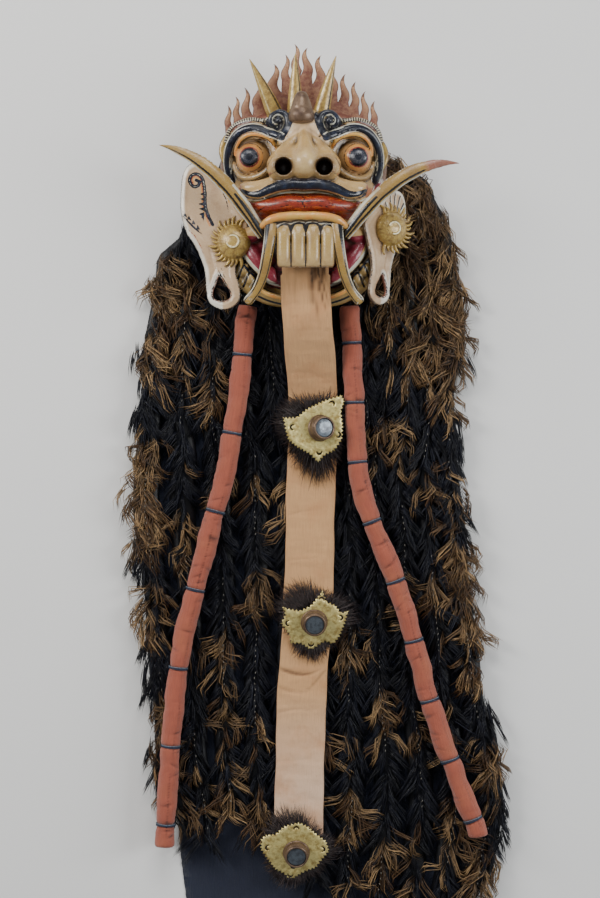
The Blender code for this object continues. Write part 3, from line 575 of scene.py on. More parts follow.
def painted():
    """Layers of old gloss paint over wood or leather, laid by the paint fields."""
    s = Surface("old_gloss_paint", Coat_Weight=0.30, Coat_Roughness=0.14, IOR=1.5)
    wobble = s.math("MULTIPLY", s.math("SUBTRACT", s.noise(420.0, 2.0), 0.5), 0.9)
    streaks = s.noise(1.0, 4.0, 0.6, s.place((90.0, 330.0, 120.0)), 0.6)
    cracks = s.noise(1.0, 3.0, 0.7, s.place((260.0, 900.0, 300.0)), 0.8)
    grime = s.noise(38.0, 5.0, 0.62)
    fine = s.noise(900.0, 2.0)
    base = s.mix(s.span(grime, 0.40, 0.72, 0.0, 0.45), s.colour("paint"),
                 tone(0.62, 0.47, 0.28), "MULTIPLY")
    base = s.mix(s.span(fine, 0.35, 0.75, 0.0, 0.10), base, tone(0.92, 0.88, 0.80))
    reds = s.mix(s.span(streaks, 0.50, 0.74), RED, ORANGE)
    reds = s.mix(s.span(cracks, 0.56, 0.63, 0.0, 0.85), reds, tone(0.14, 0.06, 0.05))
    pinks = s.mix(s.span(s.noise(140.0, 3.0), 0.45, 0.75, 0.0, 0.8), CRIMSON,
                  tone(0.68, 0.30, 0.36))
    golds = s.mix(s.span(s.noise(70.0, 4.0), 0.35, 0.7), tone(0.82, 0.53, 0.26),
                  tone(0.78, 0.62, 0.32))
    blues = s.mix(s.span(s.noise(120.0, 3.0), 0.45, 0.80, 0.0, 0.8), BLUE,
                  tone(0.15, 0.19, 0.28))
    whites = s.mix(s.span(grime, 0.35, 0.75), WHITE, tone(0.66, 0.60, 0.48))
    layers = (("crimson", pinks), ("red", reds), ("gold", golds), ("blue", blues),
              ("light", whites), ("line", INK))
    strip = s.number("strip")
    ray = s.math("ABSOLUTE", s.math("SUBTRACT", s.math("FRACT", s.number("rays")), 0.5))
    ray = s.math("MULTIPLY", s.span(ray, 0.14, 0.22, 1.0, 0.0), s.span(strip, 1.1, 1.7))
    base = s.mix(s.span(strip, 0.1, 0.5), base, tone(0.16, 0.10, 0.09))
    base = s.mix(ray, base, tone(0.76, 0.72, 0.60))
    for field, colour in layers:
        edge = s.math("ADD", s.number(field), wobble)
        base = s.mix(s.span(edge, -0.22, 0.22, 1.0, 0.0), base, colour)
    # Painted shade and grime: where a piece's shade field is high (hollows of the carving,
    # undersides of tusks and fangs, the ears' rims) the colour is darkened, more where the grime
    # noise is heavier.
    shade_and_grime = s.math("MULTIPLY", s.number("painted_shade"), s.span(grime, 0.25, 0.7, 0.65, 1.15))
    base = s.mix(s.span(shade_and_grime, 0.05, 0.95, 0.0, 0.88), base, tone(0.20, 0.13, 0.08))
    chips = s.noise(260.0, 6.0, 0.75)
    worn = s.span(s.math("MULTIPLY", s.number("wear"), s.span(chips, 0.40, 0.60)), 0.35, 0.45)
    base = s.mix(worn, base, tone(0.80, 0.78, 0.72))
    roughness = s.span(grime, 0.3, 0.8, 0.19, 0.49)
    return s.finish(base, roughness, [
        (streaks, 0.0004), (s.noise(700.0, 3.0), 0.00012), (worn, -0.0003)])


def gilded():
    """Gold paint on leather, dulled and rubbed."""
    s = Surface("rubbed_gold_paint", Coat_Weight=0.35, Coat_Roughness=0.18)
    grain = s.noise(160.0, 5.0, 0.6)
    base = s.mix(s.span(grain, 0.35, 0.72), tone(0.70, 0.58, 0.30), tone(0.50, 0.38, 0.18))
    base = s.mix(s.span(s.noise(520.0, 4.0), 0.5, 0.8, 0.0, 0.5), base, tone(0.82, 0.74, 0.48))
    wobble = s.math("MULTIPLY", s.math("SUBTRACT", s.noise(420.0, 2.0), 0.5), 0.6)
    for field, colour in (("light", tone(0.86, 0.82, 0.66)), ("line", tone(0.17, 0.12, 0.07))):
        edge = s.math("ADD", s.number(field), wobble)
        base = s.mix(s.span(edge, -0.2, 0.25, 1.0, 0.0), base, colour)
    worn = s.span(s.math("MULTIPLY", s.number("wear"), s.span(s.noise(240.0, 5.0), 0.4, 0.6)),
                  0.35, 0.5)
    base = s.mix(worn, base, tone(0.80, 0.78, 0.72))
    metallic = s.span(worn, 0.0, 1.0, 0.20, 0.05)
    return s.finish(base, s.span(grain, 0.3, 0.75, 0.26, 0.50),
                    [(grain, 0.0005), (s.noise(800.0, 3.0), 0.0002)], metallic)


def crest_leather():
    """Rawhide with thin red paint that pales towards the tips."""
    s = Surface("red_rawhide")
    grain = s.noise(130.0, 6.0, 0.7)
    base = s.mix(s.number("tip"), CREST_RED, CREST_TIP)
    base = s.mix(s.span(grain, 0.40, 0.62, 0.0, 0.85), base, tone(0.60, 0.44, 0.33))
    base = s.mix(s.span(s.noise(420.0, 4.0, 0.7), 0.56, 0.70, 0.0, 0.8), base,
                 tone(0.30, 0.15, 0.15))
    base = s.mix(s.span(s.number("line"), -0.3, 0.6, 0.7, 0.0), base, tone(0.26, 0.13, 0.12))
    base = s.mix(s.span(s.number("light"), -0.4, 0.4, 0.7, 0.0), base, tone(0.78, 0.60, 0.48))
    return s.finish(base, s.span(grain, 0.3, 0.8, 0.45, 0.75),
                    [(grain, 0.0009), (s.cells(900.0), 0.0003)])


def metal(name, bright, dull, scale, rough_low, rough_high, metallic):
    """A tarnished metal with fine scratches."""
    s = Surface(name, Metallic=metallic)
    tarnish = s.noise(scale, 6.0, 0.65)
    scratch = s.noise(1.0, 2.0, 0.5, s.place((2600.0, 180.0, 900.0)), 0.5)
    base = s.mix(s.span(tarnish, 0.40, 0.66), bright, dull)
    base = s.mix(s.span(s.noise(scale * 5, 3.0), 0.60, 0.72, 0.0, 0.6), base,
                 tuple(c * 0.3 for c in dull))
    rough = s.span(s.math("ADD", tarnish, s.math("MULTIPLY", scratch, 0.3)), 0.4, 0.95,
                   rough_low, rough_high)
    return s.finish(base, rough, [(tarnish, 0.00012), (scratch, 0.00006)])


def mirror_glass():
    """An old silvered glass, scratched and clouded."""
    s = Surface("clouded_mirror", Metallic=0.55, Coat_Weight=0.3, Coat_Roughness=0.12)
    cloud = s.noise(180.0, 5.0, 0.6)
    base = s.mix(s.span(cloud, 0.35, 0.7), (0.10, 0.12, 0.14), (0.04, 0.045, 0.055))
    return s.finish(base, s.span(cloud, 0.3, 0.8, 0.25, 0.50),
                    [(s.noise(90.0, 3.0), 0.0003)])


def woven(name, thread, dark_thread_and_shade, stain, per_metre):
    """A plain weave that follows the cloth's own across and along fields."""
    s = Surface(name, Sheen_Weight=0.25, Sheen_Roughness=0.5, Roughness=0.85)
    across, along_it = s.number("across"), s.number("along")
    weft = s.stripes(s.together(across, along_it), per_metre, 0.6, "X")
    warp = s.stripes(s.together(across, along_it), per_metre, 0.6, "Y")
    thick = s.noise(1.0, 3.0, 0.5, s.together(s.math("MULTIPLY", across, 900.0),
                                              s.math("MULTIPLY", along_it, 40.0)))
    base = s.mix(s.span(thick, 0.3, 0.75, 0.0, 0.3), thread, dark_thread_and_shade)
    base = s.mix(s.number("pale"), base, tone(0.90, 0.77, 0.66))
    base = s.mix(s.span(s.noise(17.0, 5.0, 0.62), 0.46, 0.74, 0.0, 0.55), base, stain)
    base = s.mix(s.span(s.noise(210.0, 4.0, 0.7), 0.62, 0.75, 0.0, 0.35), base, dark_thread_and_shade)
    base = s.mix(s.math("MULTIPLY", s.math("MULTIPLY", weft, warp), 0.22), base, dark_thread_and_shade)
    # Painted shade in the creases, by the fold field.
    base = s.mix(s.span(s.number("fold"), 0.0, 1.0), base, tuple(c * 0.45 for c in dark_thread_and_shade))
    # Painted shadow of the deep gathers beside the teeth, nearly black.
    base = s.mix(s.span(s.number("gather_shadow"), 0.05, 0.55, 0.0, 0.9), base,
                 tuple(c * 0.16 for c in dark_thread_and_shade))
    return s.finish(base, None, [(s.math("ADD", weft, warp), 0.00022), (thick, 0.0004),
                                 (s.noise(60.0, 3.0), 0.0012)])


def hair_surface():
    """Hair whose colour is kept at each of its points."""
    s = Surface("coarse_hair", Roughness=0.42, Specular_IOR_Level=0.35)
    base = s.mix(s.span(s.noise(300.0, 3.0), 0.3, 0.75, 0.0, 0.5), s.colour("tint"),
                 (0.012, 0.012, 0.016))
    return s.finish(base)


def thread_surface():
    """Twisted cotton thread, dark below and pale along its top."""
    s = Surface("tie_thread", Roughness=0.8)
    twist = s.stripes(s.place(), 700.0, 1.0, "DIAGONAL")
    base = s.mix(s.number("light"), (0.015, 0.028, 0.060), (0.16, 0.19, 0.23))
    base = s.mix(s.math("MULTIPLY", twist, 0.4), base, (0.006, 0.010, 0.02))
    return s.finish(base, None, [(twist, 0.0004)])


def floor_surface():
    s = Surface("pale_floor", Roughness=0.85)
    base = s.mix(s.noise(3.0, 2.0), (0.78, 0.77, 0.75), (0.82, 0.81, 0.79))
    return s.finish(base)


# The face. Each list below is for one side of it, and the other side mirrors it
BROW = [(29, 27), (36, 31.5), (45, 35), (56, 40), (68, 42.5), (80, 40), (90, 33), (98, 20),
        (101, 5), (100, -10), (95, -24)]
BROW_OUT = [84, 80, 76, 73, 70, 66, 61, 54, 49, 46, 46]
VOLUTE = [(30, 29), (23, 38), (20.5, 49), (24, 58), (33, 61), (42, 56), (43, 48), (38, 43.5)]
LID = [(38, 18), (45, 27), (57, 32), (70, 33), (81, 28.5), (88, 19.5), (91, 8)]
LOWER_LID = [(40, 10), (43, -4), (50, -15), (64, -22), (79, -22), (89, -13), (93, 0)]
CHEEK = [(32, -28), (44, -32), (58, -37), (70, -39), (76, -38)]
MOUSTACHE = [(81, -42), (71, -47), (58, -47.5), (45, -42), (31, -37.5), (15, -35.5), (0, -36)]
GUM = [(54, -89), (45, -82), (34, -78.5), (21, -77), (10, -76.5), (0, -77)]
HOLLOWS = (((0, -38, -6), (82, 84, 60)), ((0, -112, -6), (62, 54, 30)))  # centre, radii
JAW_EDGE = [(92, -104), (84, -122), (74, -136), (62, -149), (48, -161), (30, -167)]
EYE = (67, 4, 58)
EYE_RADIUS = 23.0
PUPIL = (71.5, 3.5)
NOSTRIL = (26.5, -13.5)
TEETH = 4
TOOTH_WIDTH = 19.3
TOOTH_TOP = -90.0
TOOTH_FOOT = -144.0
TEETH_MIDDLE = 2.5
HATCH_HALF_WIDTH = 5.2
HATCH_PITCH = 3.3


def both(points):
    """A line from one side to the middle, mirrored, and on to where it began."""
    return [(-x, *rest) for x, *rest in points] + [tuple(p) for p in points[::-1][1:]]


def raised(points, heights):
    return [(x, y, z) for (x, y), z in zip(points, heights)]


def carve_head(block):
    """The rounded masses of the head, with sockets for the eyes and a mound for the mouth."""
    block.blob((0, -3, 0), (105, 79, 72), 2.8, 6)
    block.blob((0, -62, 0), (97, 66, 66), 2.8, 8)
    block.blob((0, -118, 0), (88, 71, 46), 2.8, 10)
    for side in (-1, 1):
        block.blob((side * 66, 5, 82), (27, 30, 24), 2.2, 6, cut=True)
    block.blob((0, -60, 52), (74, 30, 42), 3.0, 8)
    block.blob((0, -92, 76), (50, 22, 30), 3.0, 5)


def carve_nose(block):
    """The brow's middle, the ridges that run down from it, and the snout."""
    block.blob((0, 44, 70), (29, 24, 20), 2.4, 6)
    block.blob((0, 38, 86), (25, 13, 8), 2.6, 3)
    block.roll([(1, 41, 90), (1, 26, 99), (2, 8, 107), (2, -8, 112)], [4, 6.5, 10, 14], 4)
    for side in (-1, 1):
        block.roll([(side * 5, 34, 90), (side * 16, 20, 94), (side * 29, 4, 97),
                    (side * 38, -9, 95)], [4, 6, 8.5, 9.5], 4)
    block.blob((0, -6, 92), (33, 24, 24), 2.4, 5)
    block.blob((0, -9, 104), (17, 20, 23), 2.2, 6)
    block.blob((0, -25, 90), (38, 10, 15), 2.4, 5)


def carve_brow(block, side):
    """The wing of the nostril, the brow with its volute, and the band above it."""
    block.blob((side * 27, -13, 96), (21, 18, 25), 2.3, 4)
    block.roll(mirrored(raised(BROW, BROW_OUT), side), [5, 5.5, 6, 6, 6, 6, 6, 6, 5.5, 5, 3.5], 2)
    volute = [(x, y, 86 - i * 0.8) for i, (x, y) in enumerate(VOLUTE)]
    block.roll(mirrored(volute, side), [5, 5, 5, 4.5, 4.5, 4, 4, 3.5], 1.2)
    block.blob((side * 33, 50, 85), (5.5, 5.5, 7), 2, 1)
    block.roll(mirrored([(24, 26, 90), (30, 22, 88), (34, 17, 84)], side), [4, 5, 1.5], 1.2)
    band = raised([(52, 51), (70, 53), (86, 49), (97, 41), (103, 28)], [70, 66, 60, 54, 48])
    block.roll(mirrored(band, side), [3.5, 4, 4, 4, 3], 2, flat=1.3)


def carve_eye(block, side):
    """The eyeball with its raised pupil, and the lids round it."""
    block.blob((side * EYE[0], EYE[1], EYE[2]), (EYE_RADIUS,) * 3, 2, 0.8)
    block.blob((side * (PUPIL[0] + 1.5), PUPIL[1], EYE[2] + 20.5), (11.5, 11.5, 4.5), 2, 1.2)
    upper = mirrored(raised(LID, [76, 80, 81, 79, 74, 67, 60]), side)
    block.roll(upper, [2.5, 3.4, 3.8, 3.8, 3.6, 3, 2], 0.8)
    lower = mirrored(raised(LOWER_LID, [78, 78, 76, 70, 62, 55, 52]), side)
    block.roll(lower, [2, 3.4, 4, 4, 4, 3.4, 2], 2)


def carve_cheek(block, side):
    """The cheek's roll, the hinge of the jaws, and the side of the head."""
    block.roll(mirrored(raised(CHEEK, [98, 96, 93, 89, 85]), side), [5.5, 6.5, 8, 9, 8.5], 1.4)
    block.roll(mirrored([(88, -96, 38), (74, -98, 58), (58, -92, 78)], side), [9, 9, 7], 4)
    block.blob((side * 60, -112, 40), (26, 30, 22), 2.4, 5)
    block.roll(mirrored([(103, 8, 30), (101, -20, 32), (94, -60, 34), (88, -95, 32)], side),
               [6, 6, 7, 6], 6)


def carve_mouth(block):
    """The moustache, the lip under it, the gum, and the row of teeth cut off square."""
    block.roll(both(raised(MOUSTACHE, [86, 92, 96, 98, 101, 103, 104])),
               [3, 4.5, 6, 7, 7.6, 7.8, 7.8, 7.8, 7.6, 7, 6, 4.5, 3], 1.0)
    block.roll(both([(70, -60, 78), (45, -62, 90), (22, -60, 96), (0, -61, 97)]),
               [6, 8, 9, 9, 9, 8, 6], 4)
    block.roll(both(raised(GUM, [96, 101, 104, 106, 107, 107.5])), [4.5] + [5.6] * 9 + [4.5], 1.2)
    for i in range(TEETH):
        x = TEETH_MIDDLE + (i - (TEETH - 1) / 2) * TOOTH_WIDTH
        middle = (TOOTH_TOP + TOOTH_FOOT) / 2
        block.blob((x, middle + 1, 96), (TOOTH_WIDTH * 0.475, 29, 13.5), 3.2, 0.3)
    half_row = TOOTH_WIDTH * TEETH / 2
    block.blob((TEETH_MIDDLE, TOOTH_FOOT + 16, 90), (half_row - 1, 16, 13), 8.0, 0.4)
    span, _, y, _ = block.part((-50, TOOTH_FOOT - 12, 74), (56, TOOTH_FOOT, 124))
    block.join(span, TOOTH_FOOT - 3 - y, 0.3, cut=True)


def carve_jaw(block):
    """The lower jaw with its raised rim, three molars and a lip on each side."""
    jaw = [(84, -104, 40), (87, -134, 42), (78, -160, 45), (52, -178, 47), (26, -184, 49),
           (0, -186, 50)]
    block.roll(both(jaw), [7, 8.5, 8.5, 8, 8, 8, 8, 8, 8.5, 8.5, 7], 2.5)
    rim = [(82, -136, 50), (72, -158, 54), (50, -174, 56), (26, -180, 57), (0, -182, 58)]
    block.roll(both(rim), [3, 4, 3.6, 3.6, 3.6, 3.6, 3.6, 4, 3], 1.5)
    for side in (-1, 1):
        for x, y in ((79, -143), (71, -155), (60, -165)):
            block.blob((side * x, y, 52), (6.0, 8.5, 12), 3.0, 0.5)
        lip = [(78, -104, 52), (67, -124, 58), (55, -141, 60), (38, -153, 60)]
        block.roll(mirrored(lip, side), [7, 10, 9, 8], 4)
        nostril = [(NOSTRIL[0], NOSTRIL[1], 90), (NOSTRIL[0], NOSTRIL[1], 130)]
        block.roll(mirrored(nostril, side), [9.5, 11.5], 1.6, 4.0, cut=True)


def face_carving():
    """The face's distances: rounded masses first, then carved detail, then the hollow."""
    block = Carving((-116, -200, -3), (116, 88, 136), (1.7, 1.7, 2.9))
    carve_head(block)
    carve_nose(block)
    for side in (-1, 1):
        carve_brow(block, side)
        carve_eye(block, side)
        carve_cheek(block, side)
    carve_mouth(block)
    carve_jaw(block)
    for centre, radii in HOLLOWS:
        block.blob(centre, radii, 2.5, 1, cut=True)
    block.blob((0, -122, 65), (37.5, 50, 21), 4.0, 2, cut=True)
    span, _, _, z = block.part((-200, -300, -9), (200, 200, 6))
    block.join(span, z, 0.6, cut=True)
    return block


def hollow_depth(p):
    """How far a place is outside the wearer's hollow, in face units."""
    best = np.full(len(p), 1e9)
    for centre, radii in HOLLOWS:
        q = np.abs((p - centre) / radii)
        best = np.minimum(best, ((q ** 2.5).sum(axis=1) ** 0.4 - 1) * min(radii))
    return best


def tint(colour, share, shade):
    """Mixes a shade into an array of colours, by a share for each vertex."""
    share = np.clip(np.asarray(share, float), 0, 1)[:, None]
    colour[:] = colour * (1 - share) + np.array(shade) * share


def eye_colours(colour, p, front, side):
    """The socket and the eyeball's sides darkened as painted shade, and the iris on one side."""
    x, y, z = p.T
    eye = np.hypot(x - side * EYE[0], y - EYE[1])
    # Painted shade in the socket round the eyeball, stronger on its inner side.
    socket_shade = np.clip((28 - eye) / 6, 0, 1) * (z < EYE[2] + 24) * front
    inward = np.clip((62 - x * side) / 14, 0, 1)
    tint(colour, socket_shade * (0.55 + 0.45 * inward), SHADE)
    # The eyeball in a darker tone that the iris's soft outer disc below lightens towards the front:
    # painted shade on the ball's sides.
    ball = np.linalg.norm(p - np.array((side * EYE[0], EYE[1], EYE[2])), axis=1)
    tint(colour, np.abs(ball - EYE_RADIUS) < 2.2, tone(0.66, 0.50, 0.30))
    r = np.hypot(x - side * PUPIL[0], y - PUPIL[1])
    iris = (r < 24) & (z > EYE[2] + 8) & (eye < 27)
    for radius, soft, full, shade in ((24, 5, 0.6, tone(0.76, 0.58, 0.36)),
                                      (18.6, 0.8, 1, tone(0.80, 0.55, 0.27)),
                                      (11.4, 0.8, 1, tone(0.10, 0.13, 0.21))):
        tint(colour, iris * np.clip((radius - r) / soft, 0, 1) * full, shade)


def nose_colours(colour, p):
    """The gilt corners of the eyes, the snout with a painted highlight on its top, the pale panel
    above it, and the nostrils with gilt and painted shade round them.
    """
    x, y, z = p.T
    sides = np.abs(x)
    for side in (-1, 1):
        corner = np.hypot(x - side * 29, (y - 21) * 0.8)
        tint(colour, np.clip((7 - corner) / 1.5, 0, 1) * (z > 84), tone(0.52, 0.40, 0.18))
    nose = np.clip((z - 86) / 18, 0, 1) * (sides < 54) * (y > -34) * (y < 40)
    tint(colour, nose * 0.7, tone(0.68, 0.54, 0.31))
    # Painted highlight: the highest parts of the snout are paler.
    tint(colour, np.clip((z - 117) / 9, 0, 1) * (y > -30) * 0.7, tone(0.82, 0.71, 0.50))
    panel = (sides < 33) & (y < 53) & (z > 74)
    tint(colour, panel * np.clip((y - 36 + sides * 0.6) / 2, 0, 1) * 0.9, PALE_CREAM)
    for side in (-1, 1):
        rim = np.hypot(x - side * NOSTRIL[0], y - NOSTRIL[1])
        # Gilt and painted shade: darker gold-brown round each nostril, deepest at its rim.
        tint(colour, np.clip((17 - rim) / 5, 0, 1) * (z > 92) * 0.8, tone(0.40, 0.30, 0.16))
        tint(colour, np.clip((12 - rim) / 1.5, 0, 1) * (z > 60), tone(0.16, 0.06, 0.05))


def mouth_colours(colour, p, teeth):
    """The teeth, the dark and red of the mouth round them, and the gilt jaw."""
    x, y, z = p.T
    sides = np.abs(x)
    tint(colour, teeth, TOOTH)
    tint(colour, teeth * np.clip((-118 - y) / 30, 0, 1) * 0.4, PALE_CREAM)
    tint(colour, (sides < 50) & (y < -84) & (y > -100) & (z > 72) & ~teeth, BLUE)
    inner = (y < -100) & (y > -176) & (sides < 44) & (z < 82) & ~teeth
    tint(colour, inner * 0.9, tone(0.50, 0.14, 0.13))
    wedge = (sides > 34) & (sides < 56 + (84 + y) * 0.16) & (y < -84) & (y > -150) & (z < 104)
    tint(colour, wedge & ~teeth, BLUE)
    jaw = (y < -126) & (sides > 50) | (y < -166)
    tint(colour, jaw * (z > 30) * 0.9, tone(0.58, 0.47, 0.24))
    cheek = (sides > 82) & (y < -34) & (y > -96)
    tint(colour, cheek * 0.9, tone(0.66, 0.36, 0.18))


def face_colours(p, raw, front, teeth):
    """The ground colours of the face, by where its vertices lie as seen from the front."""
    _, y, z = p.T
    colour = np.tile(np.array(CREAM), (len(p), 1))
    tint(colour, z < 44, tone(0.42, 0.28, 0.19))
    tint(colour, ((y > 40) & (z < 72)) * 0.9, tone(0.46, 0.22, 0.19))
    for side in (-1, 1):
        eye_colours(colour, p, front, side)
    nose_colours(colour, p)
    mouth_colours(colour, p, teeth)
    tint(colour, raw, BARE_WOOD)
    tint(colour, ~front & ~raw, tone(0.40, 0.30, 0.22))
    return colour


# Strokes on each side: how far out the wood must stand, the paint, the width and the points
SIDE_STROKES = (
    (40, "light", 1.8, [(52, 43), (45, 40), (37, 38.5), (30, 41), (26, 47), (28, 55), (35, 58),
                        (41, 53), (40, 47), (35, 45)]),
    (40, "light", 1.4, [(21, 63), (31, 66.5), (44, 64), (51, 56), (57, 52)]),
    (40, "light", 1.0, [(25.5, 21), (17, 36), (13, 49)]),
    (60, "gold", 5.2, LID),
    (60, "line", 1.3, [(x * 0.985 + 1, y - 3.6) for x, y in LID[:-1]]),
    (60, "crimson", 1.6, [(x * 1.01, y + 3.6) for x, y in LID[:5]]),
    (40, "line", 0.9, [(x * 1.02 + 1.5, y - 4.2) for x, y in LOWER_LID[1:]]),
    (40, "line", 0.8, [(x - 2.0, y + 3.0) for x, y in LOWER_LID[1:]]),
    (40, "line", 1.0, [(32, -19), (46, -24.5), (60, -29), (74, -30)]),
    (40, "line", 1.0, [(84, -38), (80, -46), (68, -48.5), (56, -46), (44, -38), (34, -33)]),
    (26, "line", 1.8, JAW_EDGE),
    (26, "blue", 3.2, [(86, -128), (76, -141), (66, -151), (56, -159)]),
    (26, "gold", 4.0, [(62, -168), (44, -177), (24, -182), (0, -184)]),
    (26, "line", 2.6, [(60, -163), (44, -171), (24, -176), (0, -177)]),
    (26, "line", 2.6, [(66, -175), (46, -184), (24, -189), (0, -190)]))
TAPERED_STROKES = (
    # painted highlight on the crimson strip at the face's outer rim
    (40, "light", 1.6, [(97, 12), (98, -4), (95, -20)]),
    (40, "crimson", 1.4, [(38, -20), (50, -24), (66, -27)]),
    (40, "gold", 1.6, [(44, 22), (38, 12), (34, 4)]),
    # painted highlight along the crimson just inside the jaw's edge
    (26, "light", 4.2, [(x - 2.5, y + 2.5) for x, y in JAW_EDGE]),
    (26, "gold", 3.0, [(93, -44), (98, -60), (94, -78)]),
    (26, "line", 1.6, [(90, -42), (94, -60), (90, -84)]))
SIDE_PATCHES = (
    (40, "blue", [(27, 23), (18, 38), (14, 50), (15, 62), (30, 67), (45, 63), (50, 53), (48, 44),
                  (50, 37), (40, 30)]),
    (40, "gold", [(31, 48), (34, 46.5), (37.5, 49), (36.5, 53.5), (32.5, 54)]),
    (40, "crimson", [(96, 14), (101, 12), (104, -6), (102, -30), (96, -38), (94, -24), (97, -8)]),
    (26, "crimson", [(86, -96), (76, -99), (60, -102), (50, -108), (40, -126), (30, -142),
                     (28, -158), (42, -160), (56, -150), (66, -138), (76, -122)]))
MOLAR_GAPS = ((86, -130, 93, -146), (80, -138, 88, -156), (72, -147, 80, -165),
              (63, -155, 70, -171))
LIP_CRACKS = ((16, -57, 27, -58.5), (33, -60, 45, -63), (20, -63, 31, -65), (50, -64, 60, -69))
MIDDLE_CRACKS = ((-2, -51, 1, -56), (1, -56, -2, -60), (-2, -60, 1, -66), (-9, -58, -3, -58),
                 (2, -58.5, 9, -57.5))
UPPER_LIP = [(78, -52), (66, -58), (50, -54), (30, -47), (14, -46), (0, -47)]
LOWER_LIP = [(58, -80), (45, -75.5), (21, -71), (2, -72), (-21, -70.5), (-42, -75), (-57, -80),
             (-70, -68)]


def paint_side(brushes, side):
    """The painted brow, lids, jaw and molars on one side."""
    upper, lower = brushes[40], brushes[26]
    brow = even(mirrored(BROW, side), 2.0)
    upper.stroke("blue", brow, 9.4)
    for field, aside, width in (("light", -5.6, 1.7), ("light", 5.4, 1.7), ("line", 7.0, 0.9),
                                ("line", -7.0, 0.9)):
        upper.stroke(field, beside(brow, aside), width)
    for low, field, width, points in SIDE_STROKES:
        brushes[low].stroke(field, mirrored(points, side), width)
    for low, field, width, points in TAPERED_STROKES:
        brushes[low].stroke(field, mirrored(points, side), width, taper=True)
    for low, field, points in SIDE_PATCHES:
        brushes[low].patch(field, mirrored(points, side))
    for x0, y0, x1, y1 in MOLAR_GAPS:
        lower.stroke("line", mirrored([(x0, y0), (x1, y1)], side), 3.0)
        lower.stroke("light", mirrored([(x0 + 2.5, y0 - 1), (x1 + 2.2, y1 + 5)], side), 1.2)
    for x0, y0, x1, y1 in LIP_CRACKS:
        upper.stroke("line", mirrored([(x0, y0), (x1, y1)], side), 1.2)


def paint_mouth(upper):
    """The painted moustache, the cracked red lip and the gum."""
    upper.stroke("blue", both(MOUSTACHE), 14.5, taper=True)
    upper.stroke("light", both([(84, -47), (72, -53), (58, -54.5), (44, -50), (30, -46),
                                (15, -44.3), (0, -45)]), 1.9)
    upper.stroke("line", both([(85, -49.5), (72, -55.2), (58, -56.7), (44, -52.2), (30, -48),
                               (15, -46.3), (0, -47)]), 1.1)
    upper.stroke("line", both([(48, -36), (40, -32.5), (30, -30.6), (15, -29.8), (0, -31.5)]), 0.9)
    upper.patch("red", both(UPPER_LIP) + LOWER_LIP, smooth=False)
    for x0, y0, x1, y1 in MIDDLE_CRACKS:
        upper.stroke("line", [(x0, y0), (x1, y1)], 1.7)
    upper.stroke("gold", both(GUM), 10.0)
    upper.stroke("line", both([(60, -87), (46, -76.6), (34, -73), (21, -71.4), (0, -71.5)]), 0.7)


def paint_teeth(upper, toothed):
    """Scallops along the gum, and dark lines between the teeth and under them."""
    for lower, width, field, deep in ((0.0, 1.3, "line", 1.6), (1.9, 1.5, "light", 2.2),
                                      (3.9, 2.4, "line", 3.2)):
        at = -50 + np.arange(61) * 101 / 60
        bow = -82.3 - 0.0021 * np.abs(at - 1) ** 2.05
        scallop = 1 - np.abs(np.sin(math.pi * (at - TEETH_MIDDLE) / TOOTH_WIDTH))
        upper.stroke(field, np.column_stack([at, bow - lower - deep * scallop]), width)
    for x in (TEETH_MIDDLE - TOOTH_WIDTH * 2, TEETH_MIDDLE + TOOTH_WIDTH * 2):
        upper.stroke("line", [(x, -94), (x, TOOTH_FOOT + 4)], 1.6)
    upper.stroke("line", [(TEETH_MIDDLE - 37, TOOTH_FOOT - 0.6),
                          (TEETH_MIDDLE + 37, TOOTH_FOOT - 0.6)], 1.8)
    for i in range(TEETH + 1):
        x = TEETH_MIDDLE + (i - TEETH / 2) * TOOTH_WIDTH
        toothed.stroke("line", [(x, -92), (x, TOOTH_FOOT - 4)], 2.0)
        if 0 < i < TEETH:
            toothed.patch("line", [(x - 4.2, -90), (x + 4.2, -90), (x + 1, -98), (x - 1, -98)],
                          smooth=False)


def paint_pupil(brush, side):
    """The dark pupil with a paler band round its dark centre as a painted reflection, ringed in
    black and crimson.
    """
    x, y, z = brush.places.T
    r = np.hypot(x - side * PUPIL[0], y - PUPIL[1])
    found = np.nonzero(brush.where & (z > EYE[2] + 12) & (r < 30))[0]
    r = r[found]
    # Dark blue at the centre and in a ring; the paler pupil tint left between them is a painted
    # reflection on the glossy pupil.
    brush.lay("blue", found, np.minimum(np.abs(r - 10.4) - 1.1, r - 4.5))
    brush.lay("crimson", found, np.abs(r - 12.7) - 0.8)
    brush.lay("line", found, np.minimum(np.abs(r - 11.8) - 0.5, np.abs(r - 18.4) - 0.5))


def face_paint(obj, p, normals):
    """The face's ground colours, the paint on them, and where it is worn off."""
    raw = (hollow_depth(p) < 1.2) | (p[:, 2] < 2.0) & (normals[:, 2] < -0.5)
    front = ~raw & (normals[:, 2] > -0.35)
    x, y, z = p.T
    teeth = (np.abs(x - TEETH_MIDDLE) < TOOTH_WIDTH * 2.05) & (y < -88) & (y > -150) & (z > 80)
    store_colour(obj, "paint", face_colours(p, raw, front, teeth))
    fields = {name: np.full(len(p), FAR) for name in PAINT_FIELDS}
    brushes = {low: Paint(p, front & (z > low), fields) for low in (26, 40, 60, 84)}
    for side in (-1, 1):
        paint_side(brushes, side)
        paint_pupil(brushes[60], side)
    paint_mouth(brushes[40])
    paint_teeth(brushes[40], brushes[84])
    fields["crimson"][teeth] = FAR
    brushes[40].save(obj)
    hatch_marks(obj, p, front & (z > 34))
    edge = np.clip((np.abs(x - TEETH_MIDDLE) - 36) / 3, 0, 1) * teeth * 0.9
    edge = edge + np.clip((-140 - y) / 4, 0, 1) * teeth * 0.8
    store(obj, "wear", edge)


